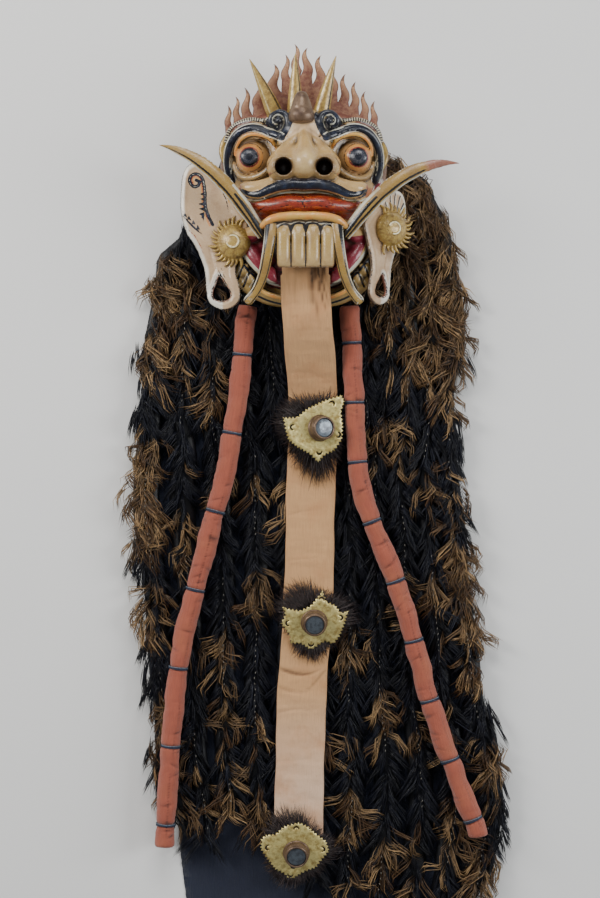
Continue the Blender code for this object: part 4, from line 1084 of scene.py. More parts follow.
def hatch_marks(obj, p, where):
    """The strip of small rays above each brow: how far inside it, and how far along it."""
    within = np.zeros(len(p))
    rays = np.zeros(len(p))
    strip = Paint(p, where)
    for side in (-1, 1):
        path = even(mirrored([(49, 53), (70, 56), (88, 52), (99, 44), (104.5, 29), (105.5, 14)],
                             side), 2.0)
        found, distance, run, _ = strip.reach(path)
        within[found] = np.maximum(within[found], HATCH_HALF_WIDTH - distance)
        rays[found] = run / HATCH_PITCH
    store(obj, "strip", np.clip(within, 0, None))
    store(obj, "rays", rays)


def face(surface):
    """The carved and painted face, with bare wood inside its hollow."""
    verts, quads = face_carving().skinned()
    verts = relaxed(verts, quads, 2, 0.45)
    normals = normals_of(verts, quads)
    obj = add_object("face", verts * UNIT + np.array((0, 0, MASK_Z)), [quads], surface,
                     ["carved_mask"])
    face_paint(obj, verts, normals)
    # Painted shade in the carving's hollows, from the deep narrow ones and the wide ones, but none
    # on the bare wood inside.
    deep = cavities(verts, quads, normals, 14, 1.5) * 0.75
    wide = cavities(verts, quads, normals, 60, 4.5) * 0.75
    bare = hollow_depth(verts) < 1.2
    store(obj, "painted_shade", np.clip(deep + wide, 0, 1) * ~bare)
    return obj


# What stands on the face and beside it
def world(points):
    """Places in metres for places in face units."""
    return np.asarray(points, float) * UNIT + np.array((0, 0, MASK_Z))


def sided(name, side):
    """The name of the left or the right one of a pair."""
    return name + ("_right" if side > 0 else "_left")


def tapered(name, path, half_widths, half_heights, surface, node, sides=28, power=1.7):
    """A long horn, tusk or fang along a path, painted along and across its length."""
    path = np.asarray(path, float)
    ahead = unit(np.gradient(path, axis=0))
    across = unit(np.cross((0, 0, 1.0), ahead))
    rings = sections(path, across, np.cross(ahead, across), half_widths, half_heights, sides,
                     power)
    verts, faces = skin(rings)
    obj = add_object(name, verts, faces, surface, [node])
    t = np.repeat(np.linspace(0, 1, len(path)), sides)
    turn = np.tile(np.cos(np.linspace(0, math.tau, sides, endpoint=False)), len(path))
    up = np.tile(np.sin(np.linspace(0, math.tau, sides, endpoint=False)), len(path))
    t, turn, up = (np.concatenate([v, [v[0], v[-1]]]) for v in (t, turn, up))
    # Painted shade: darker along the underside, and near the root where the piece meets the face.
    store(obj, "painted_shade", np.clip(0.25 - up, 0, 1) * 0.5 + np.clip(0.10 - t, 0, 1) * 4)
    return obj, verts, t, turn, up


def tusk(side, rise, bend, surface):
    """A long gilt tusk with a black flute near its root and a chipped white upper edge."""
    steps = 110
    length = 0.186
    place = world((side * 53, -101, 88))
    path = []
    t = np.linspace(0, 1, steps)
    for i in range(steps):
        path.append(place)
        heading = math.radians(rise - bend * t[i] ** 2)
        ahead = np.array((side * math.cos(heading), math.sin(heading), 0.26 - 0.42 * t[i]))
        place = place + unit(ahead) * length / (steps - 1)
    near = 0.72 + 1.25 * t - 1.9 * t * t
    far = 0.92 * (1 - np.clip((t - 0.45) / 0.55, 0, 1) ** 2.3) + 0.03
    half = TUSK_WIDTH / 2 * np.where(t < 0.45, near, far)
    half = half * (1 + 0.03 * np.sin(t * 31))
    thick = TUSK_THICKNESS / 2 * np.maximum(0.12, 1 - t ** 1.6)
    name = sided("tusk", side)
    obj, verts, t, turn, up = tapered(name + "_painted", path, half, thick, surface,
                                      name, power=1.55)
    upper = turn * -side
    inner = -upper
    fields = {field: np.full(len(verts), FAR) for field in PAINT_FIELDS}
    front = np.where(up > -0.3, 0, FAR)
    fields["line"] = np.minimum(np.abs(upper - 0.62) * 6 - 0.75,
                                np.where(t < 0.36, np.abs(inner - 0.15) * 7 - 3.6 + 6 * t, FAR))
    fields["light"] = np.minimum(np.abs(upper - 0.98) * 9 - 1.0,
                                 np.where(t < 0.42, np.abs(inner - 0.80) * 7 - 1.0, FAR))
    tip = np.clip((t - (0.74 if side > 0 else 0.95)) / 0.05, 0, 1)
    for field, values in fields.items():
        store(obj, field, np.clip(values + front + tip * 2, -FAR, FAR))
    colour = np.tile(np.array(GILT), (len(verts), 1))
    if side > 0:
        colour = colour * (1 - tip[:, None]) + np.array(tone(0.55, 0.33, 0.26)) * tip[:, None]
    store_colour(obj, "paint", colour)
    store(obj, "wear", np.clip((np.abs(turn) - 0.80) * 4, 0, 0.8) * (up > -0.4))
    return obj


def fang(side, surface):
    """A gilt fang from the corner of the gum, curling out over the lower lip."""
    path = even([(side * 42, -86, 97), (side * 44.5, -108, 102), (side * 48.5, -132, 100),
                 (side * 53.5, -153, 93), (side * 62, -172, 85), (side * 75, -188, 78)], 1.6)
    t = np.linspace(0, 1, len(path))
    half = FANG_WIDTH / 2 * (1.20 - 0.40 * t + 0.12 * np.exp(-((t - 0.95) / 0.07) ** 2))
    half = half * np.clip((1.03 - t) / 0.05, 0.2, 1) ** 0.5
    name = sided("fang", side)
    obj, verts, t, turn, up = tapered(name + "_painted", world(path), half, half * 0.78, surface,
                                      name, sides=24, power=2.3)
    inner = turn * side
    line = np.abs(inner - 0.55) * 5 - 0.7 - 1.5 * np.clip(1 - t / 0.32, 0, 1)
    line = np.minimum(line, np.where(t > 0.15, np.abs(inner + 0.72) * 5 - 0.55, FAR))
    fields = {field: np.full(len(verts), FAR) for field in PAINT_FIELDS}
    fields["line"] = np.where(up > -0.2, line, FAR)
    # Painted highlight: a pale stripe along one edge of the fang's front.
    fields["light"] = np.where(up > -0.2, np.abs(inner - 0.93) * 5 - 0.8, FAR)
    for field, values in fields.items():
        store(obj, field, values)
    store_colour(obj, "paint", np.tile(np.array(GILT) * 1.05, (len(verts), 1)))
    store(obj, "wear", np.clip((t - 0.55) * 1.1, 0, 0.42) + 0.2 * (np.abs(turn) > 0.9))
    return obj


def turned(name, profile, steps, place, surface, nodes, lobes=0, depth=0.0):
    """A shape turned about its own axis from (radius, height) pairs, perhaps lobed."""
    table = even(np.array(profile, float) / UNIT, 0.8) * UNIT
    angle = np.linspace(0, math.tau, steps, endpoint=False)
    swell = 1 + depth * np.cos(lobes * angle)[None, :] if lobes else np.ones((1, steps))
    reach = table[:, :1] * swell
    rings = np.stack([reach * np.cos(angle), reach * np.sin(angle),
                      np.repeat(table[:, 1:], steps, axis=1)], axis=-1)
    verts, faces = skin(rings[::-1])
    turn = np.array(place)
    verts = verts @ turn[:3, :3].T + turn[:3, 3]
    return add_object(name, verts, faces, surface, nodes)


def facing(point, axis, turn=0.0):
    """A placement at the point, with its +Z along the axis."""
    aimed = Vector(axis).normalized().to_track_quat("Z", "Y").to_matrix().to_4x4()
    return Matrix.Translation(Vector(point)) @ aimed @ Matrix.Rotation(turn, 4, "Z")


def horns(surface):
    """Three gilt horns, a little curved, with chipped feet and tips, and a painted highlight down
    one side.
    """
    for name, foot, aim, bend in (("horn_left", (-38, 64, 50), (-0.38, 0.90, 0.18), -0.05),
                                  ("horn_middle", (-11, 66, 51), (-0.02, 0.96, 0.14), 0.02),
                                  ("horn_right", (23, 64, 50), (0.20, 0.95, 0.18), 0.05)):
        t = np.linspace(-0.10, 1, 60)
        aim = unit(np.array(aim))
        path = world(foot) + np.outer(t * HORN_LENGTH, aim)
        path[:, 0] += bend * HORN_LENGTH * t * t
        half = HORN_RADIUS * np.clip(1.02 - 0.18 * t - 0.80 * np.clip(t, 0, 1) ** 1.5, 0.03, 1)
        obj, _, t, turn, _ = tapered(name + "_gilt", path, half, half * 0.85, surface,
                                     name, power=1.8)
        store(obj, "line", np.minimum(np.abs(turn + 0.75) * 5 - 0.5,
                                      np.where(t < 0.16, np.abs(t - 0.13) * 60 - 0.4, FAR)))
        # Painted highlight: a pale stripe down the same side of each horn.
        store(obj, "light", np.abs(turn - 0.55) * 6 - 0.5)
        store(obj, "wear", np.clip(0.55 - t * 2.6, 0, 0.6) + np.clip((t - 0.9) * 5, 0, 0.45))


def knob(surface):
    """The bell-shaped bronze knob on the brow, swollen below like a bud."""
    r, h = KNOB_RADIUS, KNOB_LENGTH
    profile = [(0.0002, h), (r * 0.22, h * 0.985), (r * 0.42, h * 0.92), (r * 0.62, h * 0.74),
               (r * 0.78, h * 0.56), (r * 0.84, h * 0.46), (r * 0.97, h * 0.34), (r, h * 0.22),
               (r * 0.90, h * 0.08), (r * 0.55, 0), (0.0002, -h * 0.03)]
    place = facing(world((-3, 46, 88)), (0, 0.97, 0.10))
    turned("brow_knob_bronze", profile, 40, place, surface, ["brow_knob"], 2, 0.03)


def loop_through(points, step):
    """A closed and rounded outline through these points, with a point at each step."""
    points = np.array(points, float)
    span = 12
    wrapped = np.vstack([points[-3:], points, points[:3]])
    dense = through(wrapped, (len(wrapped) - 1) * span + 1)
    dense = dense[3 * span:(3 + len(points)) * span + 1]
    run = np.concatenate([[0], np.cumsum(np.linalg.norm(np.diff(dense, axis=0), axis=1))])
    stops = np.linspace(0, run[-1], int(run[-1] / step) + 2)[:-1]
    return np.stack([np.interp(stops, run, dense[:, i]) for i in (0, 1)], axis=1)


def straight_loop(points, step):
    """A closed outline with straight sides, and points no further apart than a step."""
    points = np.array(points, float)
    made = []
    for a, b in zip(points, np.roll(points, -1, axis=0)):
        count = max(1, int(np.ceil(np.linalg.norm(b - a) / step)))
        made.append(a + (b - a) * (np.arange(count) / count)[:, None])
    return np.vstack(made)


def triangulated(loops, cell):
    """Points inside closed outlines, and the triangles between them, anticlockwise."""
    low, high = loops[0].min(axis=0), loops[0].max(axis=0)
    xs = np.arange(low[0], high[0], cell)
    ys = np.arange(low[1], high[1], cell * 0.866)
    x, y = np.meshgrid(xs, ys)
    x = x + (np.arange(len(ys)) % 2)[:, None] * cell / 2
    inner = np.stack([x.ravel(), y.ravel()], axis=1)
    inner = inner[outline_distance(inner[:, 0], inner[:, 1], loops) < -0.6 * cell]
    points = np.vstack([*loops, inner])
    edges = []
    start = 0
    for loop in loops:
        count = len(loop)
        edges += [(start + i, start + (i + 1) % count) for i in range(count)]
        start += count
    flat, _, triangles, *_ = delaunay_2d_cdt([Vector(p) for p in points], edges, [], 0, 1e-7)
    flat = np.array([(v.x, v.y) for v in flat])
    triangles = np.array(triangles)
    middle = flat[triangles].mean(axis=1)
    triangles = triangles[outline_distance(middle[:, 0], middle[:, 1], loops) < 0]
    a, b, c = (flat[triangles[:, i]] for i in range(3))
    area = (b - a)[:, 0] * (c - a)[:, 1] - (b - a)[:, 1] * (c - a)[:, 0]
    triangles = np.where((area < 0)[:, None], triangles[:, ::-1], triangles)
    triangles = triangles[np.abs(area) > 1e-9]
    used, compact = np.unique(triangles, return_inverse=True)
    return flat[used], compact.reshape(triangles.shape)


def cut_sheet(name, loops, cell, thickness, place, surface, node, relief, rim=1.0):
    """A flat piece cut to outlines in face units, whose front is carved in low relief."""
    flat, triangles = triangulated(loops, cell)
    x, y = flat.T
    inside = -outline_distance(x, y, loops)
    near = 1 - np.clip(inside / rim, 0, 1)
    rounding = rim * (1 - np.sqrt(1 - near ** 2))
    front = thickness / 2 - rounding * 0.8 + relief(x, y, inside)
    back = -thickness / 2 + rounding * 0.4
    verts = np.vstack([np.column_stack([flat, front]), np.column_stack([flat, back])])
    count = len(flat)
    ends = np.concatenate([triangles[:, [i, (i + 1) % 3]] for i in range(3)])
    single = ~np.isin(ends[:, 0] * count + ends[:, 1], ends[:, 1] * count + ends[:, 0])
    a, b = ends[single].T
    sides = np.stack([b, a, a + count, b + count], axis=1)
    turn = np.array(place)
    placed = (verts * UNIT) @ turn[:3, :3].T + turn[:3, 3]
    obj = add_object(name, placed, [triangles, triangles[:, ::-1] + count, sides], surface,
                     [node])
    return obj, verts, np.concatenate([inside, inside]), np.arange(len(verts)) < count


EAR_OUTLINE = [(-4, -66), (8, -47), (18, -33), (29, -15), (36, -7), (45, -1.5), (55, 0), (63, -2),
               (70, -8), (74, -17), (76, -28), (77, -45), (77, -62), (74, -78), (68, -95),
               (60, -107), (54, -118), (49, -130), (45, -142), (43, -158), (42, -172),
               (40, -183), (33, -191), (20, -196), (8, -193), (-1, -185), (-3, -174), (-1, -162),
               (3, -146), (0, -126), (-8, -104), (-13, -84)]
EAR_HOLE = [(25, -152), (29, -161), (33, -171), (33, -179), (28, -183), (20, -184), (13, -182),
            (10, -177), (13, -168), (19, -159)]
EAR_BORDER = [(66, -72), (60, -84), (52, -94), (44, -104), (38, -116), (34, -130), (31, -144),
              (34, -152), (38, -164), (40, -176)]
EAR_ROOT = -84
EAR_HINGE = 87
# Paint on the left ear, in face units from the mask's middle
EAR_STEM = [(-120, -83.3), (-125.4, -72.6), (-129.8, -58.5), (-130.3, -44.3), (-131.5, -31.9),
            (-134.2, -21.3), (-141.3, -15.7), (-148.4, -17.8), (-151, -24.9), (-146.6, -31.9),
            (-140.4, -31.9), (-137.7, -26.6), (-142.2, -24)]
EAR_SPINES = ((-139.5, -42.2), (-141.3, -55.3), (-139.5, -68.8), (-133.3, -77.1), (-138, -49),
              (-139, -62), (-136, -73))
EAR_LEAVES = ((-158, -66), (-153, -70), (-147, -76), (-141, -83))
EAR_TAPERED = (
    ("blue", 2.6, [(-160, -71), (-150.1, -81.5), (-143.1, -88.6), (-133.3, -96.5)]),
    ("red", 1.2, [(-163, -78), (-152, -90), (-143, -99), (-136, -112), (-130, -128)]),
    ("line", 1.6, [(-112, -30), (-106, -42), (-101, -56), (-99, -70)]),
    ("gold", 2.2, [(-108, -30), (-101, -44), (-97, -60)]))
EAR_CREASES = ((-118, -138, -112, -150), (-114, -140, -107, -154), (-109, -141, -103, -156))
# Paint on the right ear, in its own plane
EAR_BARS = ((30, -52, 38, -66), (40, -42, 43, -64), (51, -38, 49, -62), (62, -41, 55, -63),
            (70, -50, 60, -67))


def ear_place(side):
    """Where an ear's plate hinges on the head. The right ear is folded back."""
    fold = math.radians(8 if side < 0 else 50)
    height = 60 if side < 0 else 66
    return (Matrix.Translation(Vector(world((side * EAR_HINGE, 0, height))))
            @ Matrix.Rotation(side * fold, 4, "Y"))


def ear_points(points, side):
    """An ear's points on its own side. The right ear is shorter above its root."""
    above, below = (1.0, 1.0) if side < 0 else (0.60, 0.94)
    return [(side * x, EAR_ROOT + (y - EAR_ROOT) * (above if y > EAR_ROOT else below))
            for x, y in points]


def paint_left_ear(paint):
    """The scroll with its spines, the leaves below it, and the creases at the lobe."""
    flat = lambda points: [((x + EAR_HINGE) / 0.99, y) for x, y in points]
    edge = even(flat(EAR_STEM[:10]), 2.0)
    paint.stroke("gold", beside(edge, 4.2), 1.6)
    paint.stroke("red", beside(edge, 2.6), 1.5)
    paint.stroke("blue", flat(EAR_STEM), 4.4)
    paint.stroke("light", flat(EAR_STEM[1:]), 1.0, taper=True)
    for x, y in EAR_SPINES:
        root = -129.8 + 0.12 * (y + 58)
        paint.patch("blue", flat([(root, y - 4), (x, y), (root, y + 2.5)]), smooth=False)
    for field, width, points in EAR_TAPERED:
        paint.stroke(field, flat(points), width, taper=True)
    for x, y in EAR_LEAVES:
        paint.patch("blue", flat([(x + 5, y - 8), (x + 1, y), (x - 1, y - 5)]), smooth=False)
    for x0, y0, x1, y1 in EAR_CREASES:
        paint.stroke("line", flat([(x0, y0), (x1, y1)]), 1.0)


def paint_right_ear(paint):
    """The blue bars of the folded ear, each with a white one beside it."""
    for x0, y0, x1, y1 in EAR_BARS:
        paint.stroke("blue", [(x0, y0), (x1, y1)], 2.4)
        paint.stroke("light", [(x0 + 3.5, y0), (x1 + 2.2, y1 + 2)], 1.8)


def ear(side, surface):
    """A long leather ear, painted with a scroll, a white border and a blue-grey edge."""
    loops = [loop_through(ear_points(EAR_OUTLINE, side), 1.2),
             loop_through(ear_points(EAR_HOLE, side), 1.0)]
    border = even(ear_points(EAR_BORDER, side), 2.0)

    def relief(x, y, inside):
        scroll = np.exp(-((inside - 6) / 2.2) ** 2) * 0.9
        fold = np.full(len(x), 99.0)
        for a, b in border:
            fold = np.minimum(fold, np.hypot(x - a, y - b))
        return scroll - 1.1 * np.exp(-(fold / 1.8) ** 2) + 0.5 * waves(
            np.column_stack([x, y]), 0.012, 5)

    name = sided("ear", side)
    obj, verts, inside, front = cut_sheet(name + "_painted", loops, 1.7, 5.0, ear_place(side),
                                          surface, name, relief, 1.6)
    x, y = verts[:, 0], verts[:, 1]
    colour = np.tile(np.array(EAR_PINK), (len(verts), 1))
    tint(colour, (7 - inside) / 3 * (np.abs(x) > 20) * front, EAR_PALE)
    hole_edge = -outline_distance(x, y, [loops[1]])
    salmon = (np.abs(hole_edge) < 1.6) & ~front | (np.abs(hole_edge) < 0.6)
    colour[salmon] = SALMON
    colour[~front & ~salmon] = tone(0.40, 0.30, 0.22)
    store_colour(obj, "paint", colour)
    paint = Paint(verts, front)
    if side < 0:
        paint_left_ear(paint)
    else:
        paint_right_ear(paint)
    found = np.nonzero(front)[0]
    paint.lay("blue", found, np.abs(inside[found] - 0.5) - 0.75)
    paint.lay("line", found, np.abs(-hole_edge[found] - 1.6) - 0.7)
    paint.save(obj)
    store(obj, "wear", np.clip((3.0 - inside) * 0.22, 0, 0.5) * front)
    # Painted shade along the ear's cut rim, front and back.
    store(obj, "painted_shade", np.clip(1.0 - inside, 0, 1) * 0.5)


BOSS_RADIUS = 22.0
FLAME_LENGTH = 14.0
FLAMES = 19
# One flame of a boss: how far along its share of the rim, and how far out
FLAME_STEPS = ((0.0, 0.10), (0.10, 0.42), (0.36, 0.72), (0.86, 0.98), (1.04, 1.0), (0.94, 0.74),
               (0.82, 0.40))


def boss_outline(side):
    """Flames round most of the rim, and a plain arc behind, next to the head."""
    swing = 232 / FLAMES
    outline = []
    for i in range(FLAMES):
        start = math.radians(-116 + i * swing)
        long = 0.80 + 0.20 * math.cos(i * 2.4)
        for step, out in FLAME_STEPS:
            angle = start + math.radians(swing * step)
            reach = BOSS_RADIUS + FLAME_LENGTH * out * long
            outline.append((side * reach * math.cos(angle), reach * math.sin(angle)))
    for i in range(9):
        angle = math.radians(118 + 124 * i / 8)
        outline.append((side * BOSS_RADIUS * math.cos(angle), BOSS_RADIUS * math.sin(angle)))
    return outline


def boss(side, surface):
    """The gilt ear ornament: a domed centre with a ring and a curl, a painted highlight on the
    ring, and flames round it.
    """

    def relief(x, y, inside):
        r = np.hypot(x, y)
        angle = np.arctan2(y, x)
        dome = 12.0 * np.sqrt(np.clip(1 - (r / BOSS_RADIUS) ** 2, 0, 1))
        feather = 0.35 * np.clip(inside, 0, 2.0)
        ring = 1.3 * np.exp(-((r - 8.0) / 1.2) ** 2) * (np.cos(angle - side * 0.4) > -0.75)
        veins = 0.22 * np.cos(angle * 26 + r * 0.25) * np.clip((r - 10) / 6, 0, 1)
        return dome + feather + ring + veins

    middle = (4, -107) if side < 0 else (30, -88)
    seat, tilt = (4.4, 0) if side < 0 else (11.0, 27)
    place = ear_place(side) @ Matrix.Translation(
        Vector((side * middle[0] * UNIT, middle[1] * UNIT, seat * UNIT)))
    place = place @ Matrix.Rotation(math.radians(-side * tilt), 4, "Y")
    name = sided("ear_boss", side)
    loops = [straight_loop(boss_outline(side), 1.0)]
    obj, verts, inside, front = cut_sheet(name + "_gilt", loops, 1.15, 3.0, place, surface,
                                          name, relief, 0.9)
    r = np.hypot(verts[:, 0], verts[:, 1])
    angle = np.arctan2(verts[:, 1], verts[:, 0])
    turns = (angle * 26 + r * 0.25) / math.tau
    veins = np.where(r > 13, np.abs(turns % 1.0 - 0.5) * 5 - 0.15, FAR)
    open_ring = np.cos(angle - side * 0.4) > -0.75
    line = np.minimum(np.abs(r - 10.0) - 0.35, veins)
    store(obj, "line", np.where(front, line, FAR))
    # Painted highlight: a pale arc on the raised open ring.
    store(obj, "light", np.where(front & open_ring, np.abs(r - 8.0) - 0.9, FAR))
    store(obj, "wear", np.clip((1.3 - inside) * 0.4, 0, 0.42) * front)


def temple_leaf(side, surface):
    """A thin gilt leaf beside the eye's outer corner."""
    half, width = 22.5, 7.0
    t = np.linspace(-1, 1, 13)
    outer = np.column_stack([side * width * (0.35 * t * t - 0.65), t * half])
    inner = np.column_stack([side * width * (1.0 - 1.3 * t * t), t * half])[::-1][1:-1]
    loops = [straight_loop(np.vstack([outer, inner]), 1.2)]
    ridge = lambda x, y, inside: 0.5 * np.clip(inside, 0, 2.5)
    place = Matrix.Translation(Vector(world((side * 106, 17 if side < 0 else 10, 40))))
    name = sided("temple_leaf", side)
    obj, verts, inside, front = cut_sheet(name + "_gilt", loops, 1.6, 2.5, place, surface,
                                          name, ridge, 0.8)
    store(obj, "line", np.where(front, inside - 0.6, FAR))
    store(obj, "light", np.full(len(verts), FAR))
    store(obj, "wear", np.clip((1.5 - inside) * 0.35, 0, 0.45) * front)


# The crest's flames: where each tip is, from the left
FLAME_TIPS = [(-101, 78), (-90.5, 90), (-78.5, 102), (-61, 113), (-39, 133.5), (-24, 146),
              (-11.7, 160), (4.3, 155), (22.3, 145), (39, 133.5), (55, 120), (69, 110),
              (81.7, 97), (94.4, 84)]


def flame(start, end, x, top):
    """One curling flame from its left foot over its tip, which hooks right, to its right."""
    wide = end - start
    deep = min(38, wide * 2.5)
    t = np.linspace(0, 0.97, 18)
    spine = (start + end) / 2 * (1 - t ** 2.2) + x * t ** 2.2
    spine += wide * 0.17 * np.sin(math.tau * t)
    half = wide / 2 * (1 - t) ** 0.72
    rise = top - deep + deep * t
    left = np.column_stack([spine - half, rise])
    right = np.column_stack([spine + half * 0.9, rise])
    return np.vstack([left, (x + wide * 0.08, top), right[::-1]])


def crest_outline():
    """Curling flames over the top, and an arch below where the crest meets the brow."""
    outline = []
    for i, (x, y) in enumerate(FLAME_TIPS):
        left = FLAME_TIPS[i - 1][0] if i else x - 12
        right = FLAME_TIPS[i + 1][0] if i + 1 < len(FLAME_TIPS) else x + 11
        if i > 6:
            part = flame((left + x) / 2 - 1.5, (right + x) / 2 - 1.5, x, y)
        else:
            part = flame(-(right + x) / 2 - 1.5, -(left + x) / 2 - 1.5, -x, y)[::-1] * (-1, 1)
        outline += [tuple(p) for p in part]
    outline.append((104, 30))
    for i in range(13):
        angle = math.radians(12 + 156 * i / 12)
        c, s = math.cos(angle), math.sin(angle)
        outline.append((90 * math.copysign(abs(c) ** 0.75, c), -8 + 63 * abs(s) ** 0.75))
    outline.append((-104, 30))
    return outline


def crest(surface):
    """A fan of rawhide cut into curling flames that stands behind the brow."""

    def bow(x, y, inside):
        return 0.9 * waves(np.column_stack([x, y]), 0.02, 9) + 0.35 * np.clip(inside, 0, 2)

    place = Matrix.Translation(Vector(world((0, 0, 34))))
    loops = [straight_loop(crest_outline(), 1.2)]
    obj, verts, inside, front = cut_sheet("flame_crest_rawhide", loops, 2.6, 3.0, place, surface,
                                          "flame_crest", bow, 0.9)
    tips = np.array(FLAME_TIPS)
    near = np.min(np.hypot(verts[:, None, 0] - tips[:, 0], verts[:, None, 1] - tips[:, 1]),
                  axis=1)
    store(obj, "tip", np.clip((26 - near) / 18, 0, 1))
    store(obj, "line", np.where(front, inside - 0.6, FAR))
    paint = Paint(verts, front)
    for x, y in FLAME_TIPS:
        lean = 2.5 if x > -10 else -2.5
        streak = [(x - lean * 0.2, y - 7), (x - lean, y - 16), (x - lean * 2.1, y - 27)]
        paint.stroke("light", streak, 1.5, taper=True)
    store(obj, "light", paint.fields["light"])


# The tongue, the stuffed tubes and the medallions
# Pairs of y, from the top down, and x or a gap between the tongue's edge and a tube
TONGUE_LINE = [(0, 0.002), (-0.140, 0.002), (-0.200, 0.004), (-0.300, 0.012), (-0.350, 0.013),
               (-0.450, 0.009), (-0.530, 0.008), (-0.620, 0.004), (-0.700, -0.002),
               (-0.800, -0.005), (-0.925, -0.008)]
LEFT_TUBE_GAP = [(-0.183, 0.029), (-0.233, 0.040), (-0.287, 0.049), (-0.354, 0.061),
                 (-0.422, 0.070), (-0.503, 0.090), (-0.584, 0.108), (-0.651, 0.119),
                 (-0.719, 0.123), (-0.800, 0.128), (-0.914, 0.132)]
RIGHT_TUBE_GAP = [(-0.179, 0.011), (-0.233, 0.010), (-0.300, 0.008), (-0.354, 0.009),
                  (-0.422, 0.018), (-0.489, 0.040), (-0.557, 0.069), (-0.638, 0.098),
                  (-0.719, 0.125), (-0.800, 0.155), (-0.900, 0.196)]


def tongue_height(y):
    """How high the tongue's middle is: out of the mouth, over the lip, then on the hair."""
    low = HAIR_TOP + 0.0004 + TONGUE_THICKNESS / 2
    mouth = MASK_Z + 68 * UNIT
    return along([(-0.150, mouth), (-0.196, mouth - 0.004), (-0.326, low)], y)


def beyond(x, y, points):
    """The distance of places to a line of points, and how far along it each is."""
    nearest = np.full(len(x), 1e9)
    share = np.zeros(len(x))
    for i, ((x0, y0), (x1, y1)) in enumerate(zip(points, points[1:])):
        dx, dy = x1 - x0, y1 - y0
        t = np.clip(((x - x0) * dx + (y - y0) * dy) / (dx * dx + dy * dy), 0, 1)
        distance = np.hypot(x - x0 - t * dx, y - y0 - t * dy)
        share = np.where(distance < nearest, (i + t) / (len(points) - 1), share)
        nearest = np.minimum(nearest, distance)
    return nearest, share


def crease(x, y, points, width, depth, fade=0.5):
    """A fold in cloth along a smooth line of points, which fades out towards its end."""
    nearest, share = beyond(x, y, through(points, 14))
    narrow = width * (1 - fade * share)
    return depth * (1 - share ** 2 * fade * 2) * np.exp(-(nearest / narrow) ** 2)


# The deep gathers beside the teeth, painted only as dark shadow, in the tongue's own x and y, with
# their widths
GATHER_SHADOWS = [([(0.0066, -0.128), (0.0080, -0.152), (0.0110, -0.170), (0.0220, -0.200)], 0.0026),
         ([(0.0150, -0.128), (0.0175, -0.150), (0.0240, -0.168), (0.0265, -0.190)], 0.0036),
         ([(0.0240, -0.128), (0.0260, -0.152), (0.0295, -0.176)], 0.0030)]


# The folds of the tongue's front, each with its width and depth
TONGUE_FOLDS = (
    ([(0.004, -0.136), (0.009, -0.160), (0.0115, -0.185), (0.021, -0.226)], 0.0030, 0.0044),
    ([(0.012, -0.136), (0.0165, -0.160), (0.0215, -0.182), (0.030, -0.214)], 0.0024, 0.0052),
    ([(0.022, -0.136), (0.0225, -0.160), (0.0265, -0.178), (0.031, -0.200)], 0.0022, 0.0046),
    ([(0.006, -0.176), (0.012, -0.200), (0.015, -0.236)], 0.0020, 0.0016),
    ([(-0.012, -0.140), (-0.015, -0.175), (-0.013, -0.215)], 0.0034, 0.0012),
    ([(-0.024, -0.150), (-0.021, -0.190), (-0.024, -0.240)], 0.0030, 0.0010),
    ([(-0.034, -0.402), (0.004, -0.412), (0.034, -0.405)], 0.0022, 0.0012),
    ([(-0.034, -0.470), (0.000, -0.462), (0.034, -0.468)], 0.0020, 0.0012),
    ([(-0.034, -0.676), (0.002, -0.684), (0.033, -0.672)], 0.0030, 0.0036),
    ([(0.030, -0.678), (0.012, -0.700), (-0.004, -0.712)], 0.0026, 0.0020),
    ([(-0.033, -0.700), (-0.010, -0.708), (0.020, -0.704)], 0.0024, 0.0014),
    ([(-0.033, -0.735), (0.000, -0.730), (0.033, -0.742)], 0.0020, 0.0012),
    ([(-0.034, -0.530), (0.030, -0.524)], 0.0018, 0.0009),
    ([(-0.033, -0.800), (0.033, -0.796)], 0.0018, 0.0009),
    ([(-0.0305, -0.16), (-0.0300, -0.56), (-0.0300, -0.92)], 0.0011, 0.0010),
    ([(0.0305, -0.26), (0.0300, -0.56), (0.0300, -0.92)], 0.0011, 0.0010))


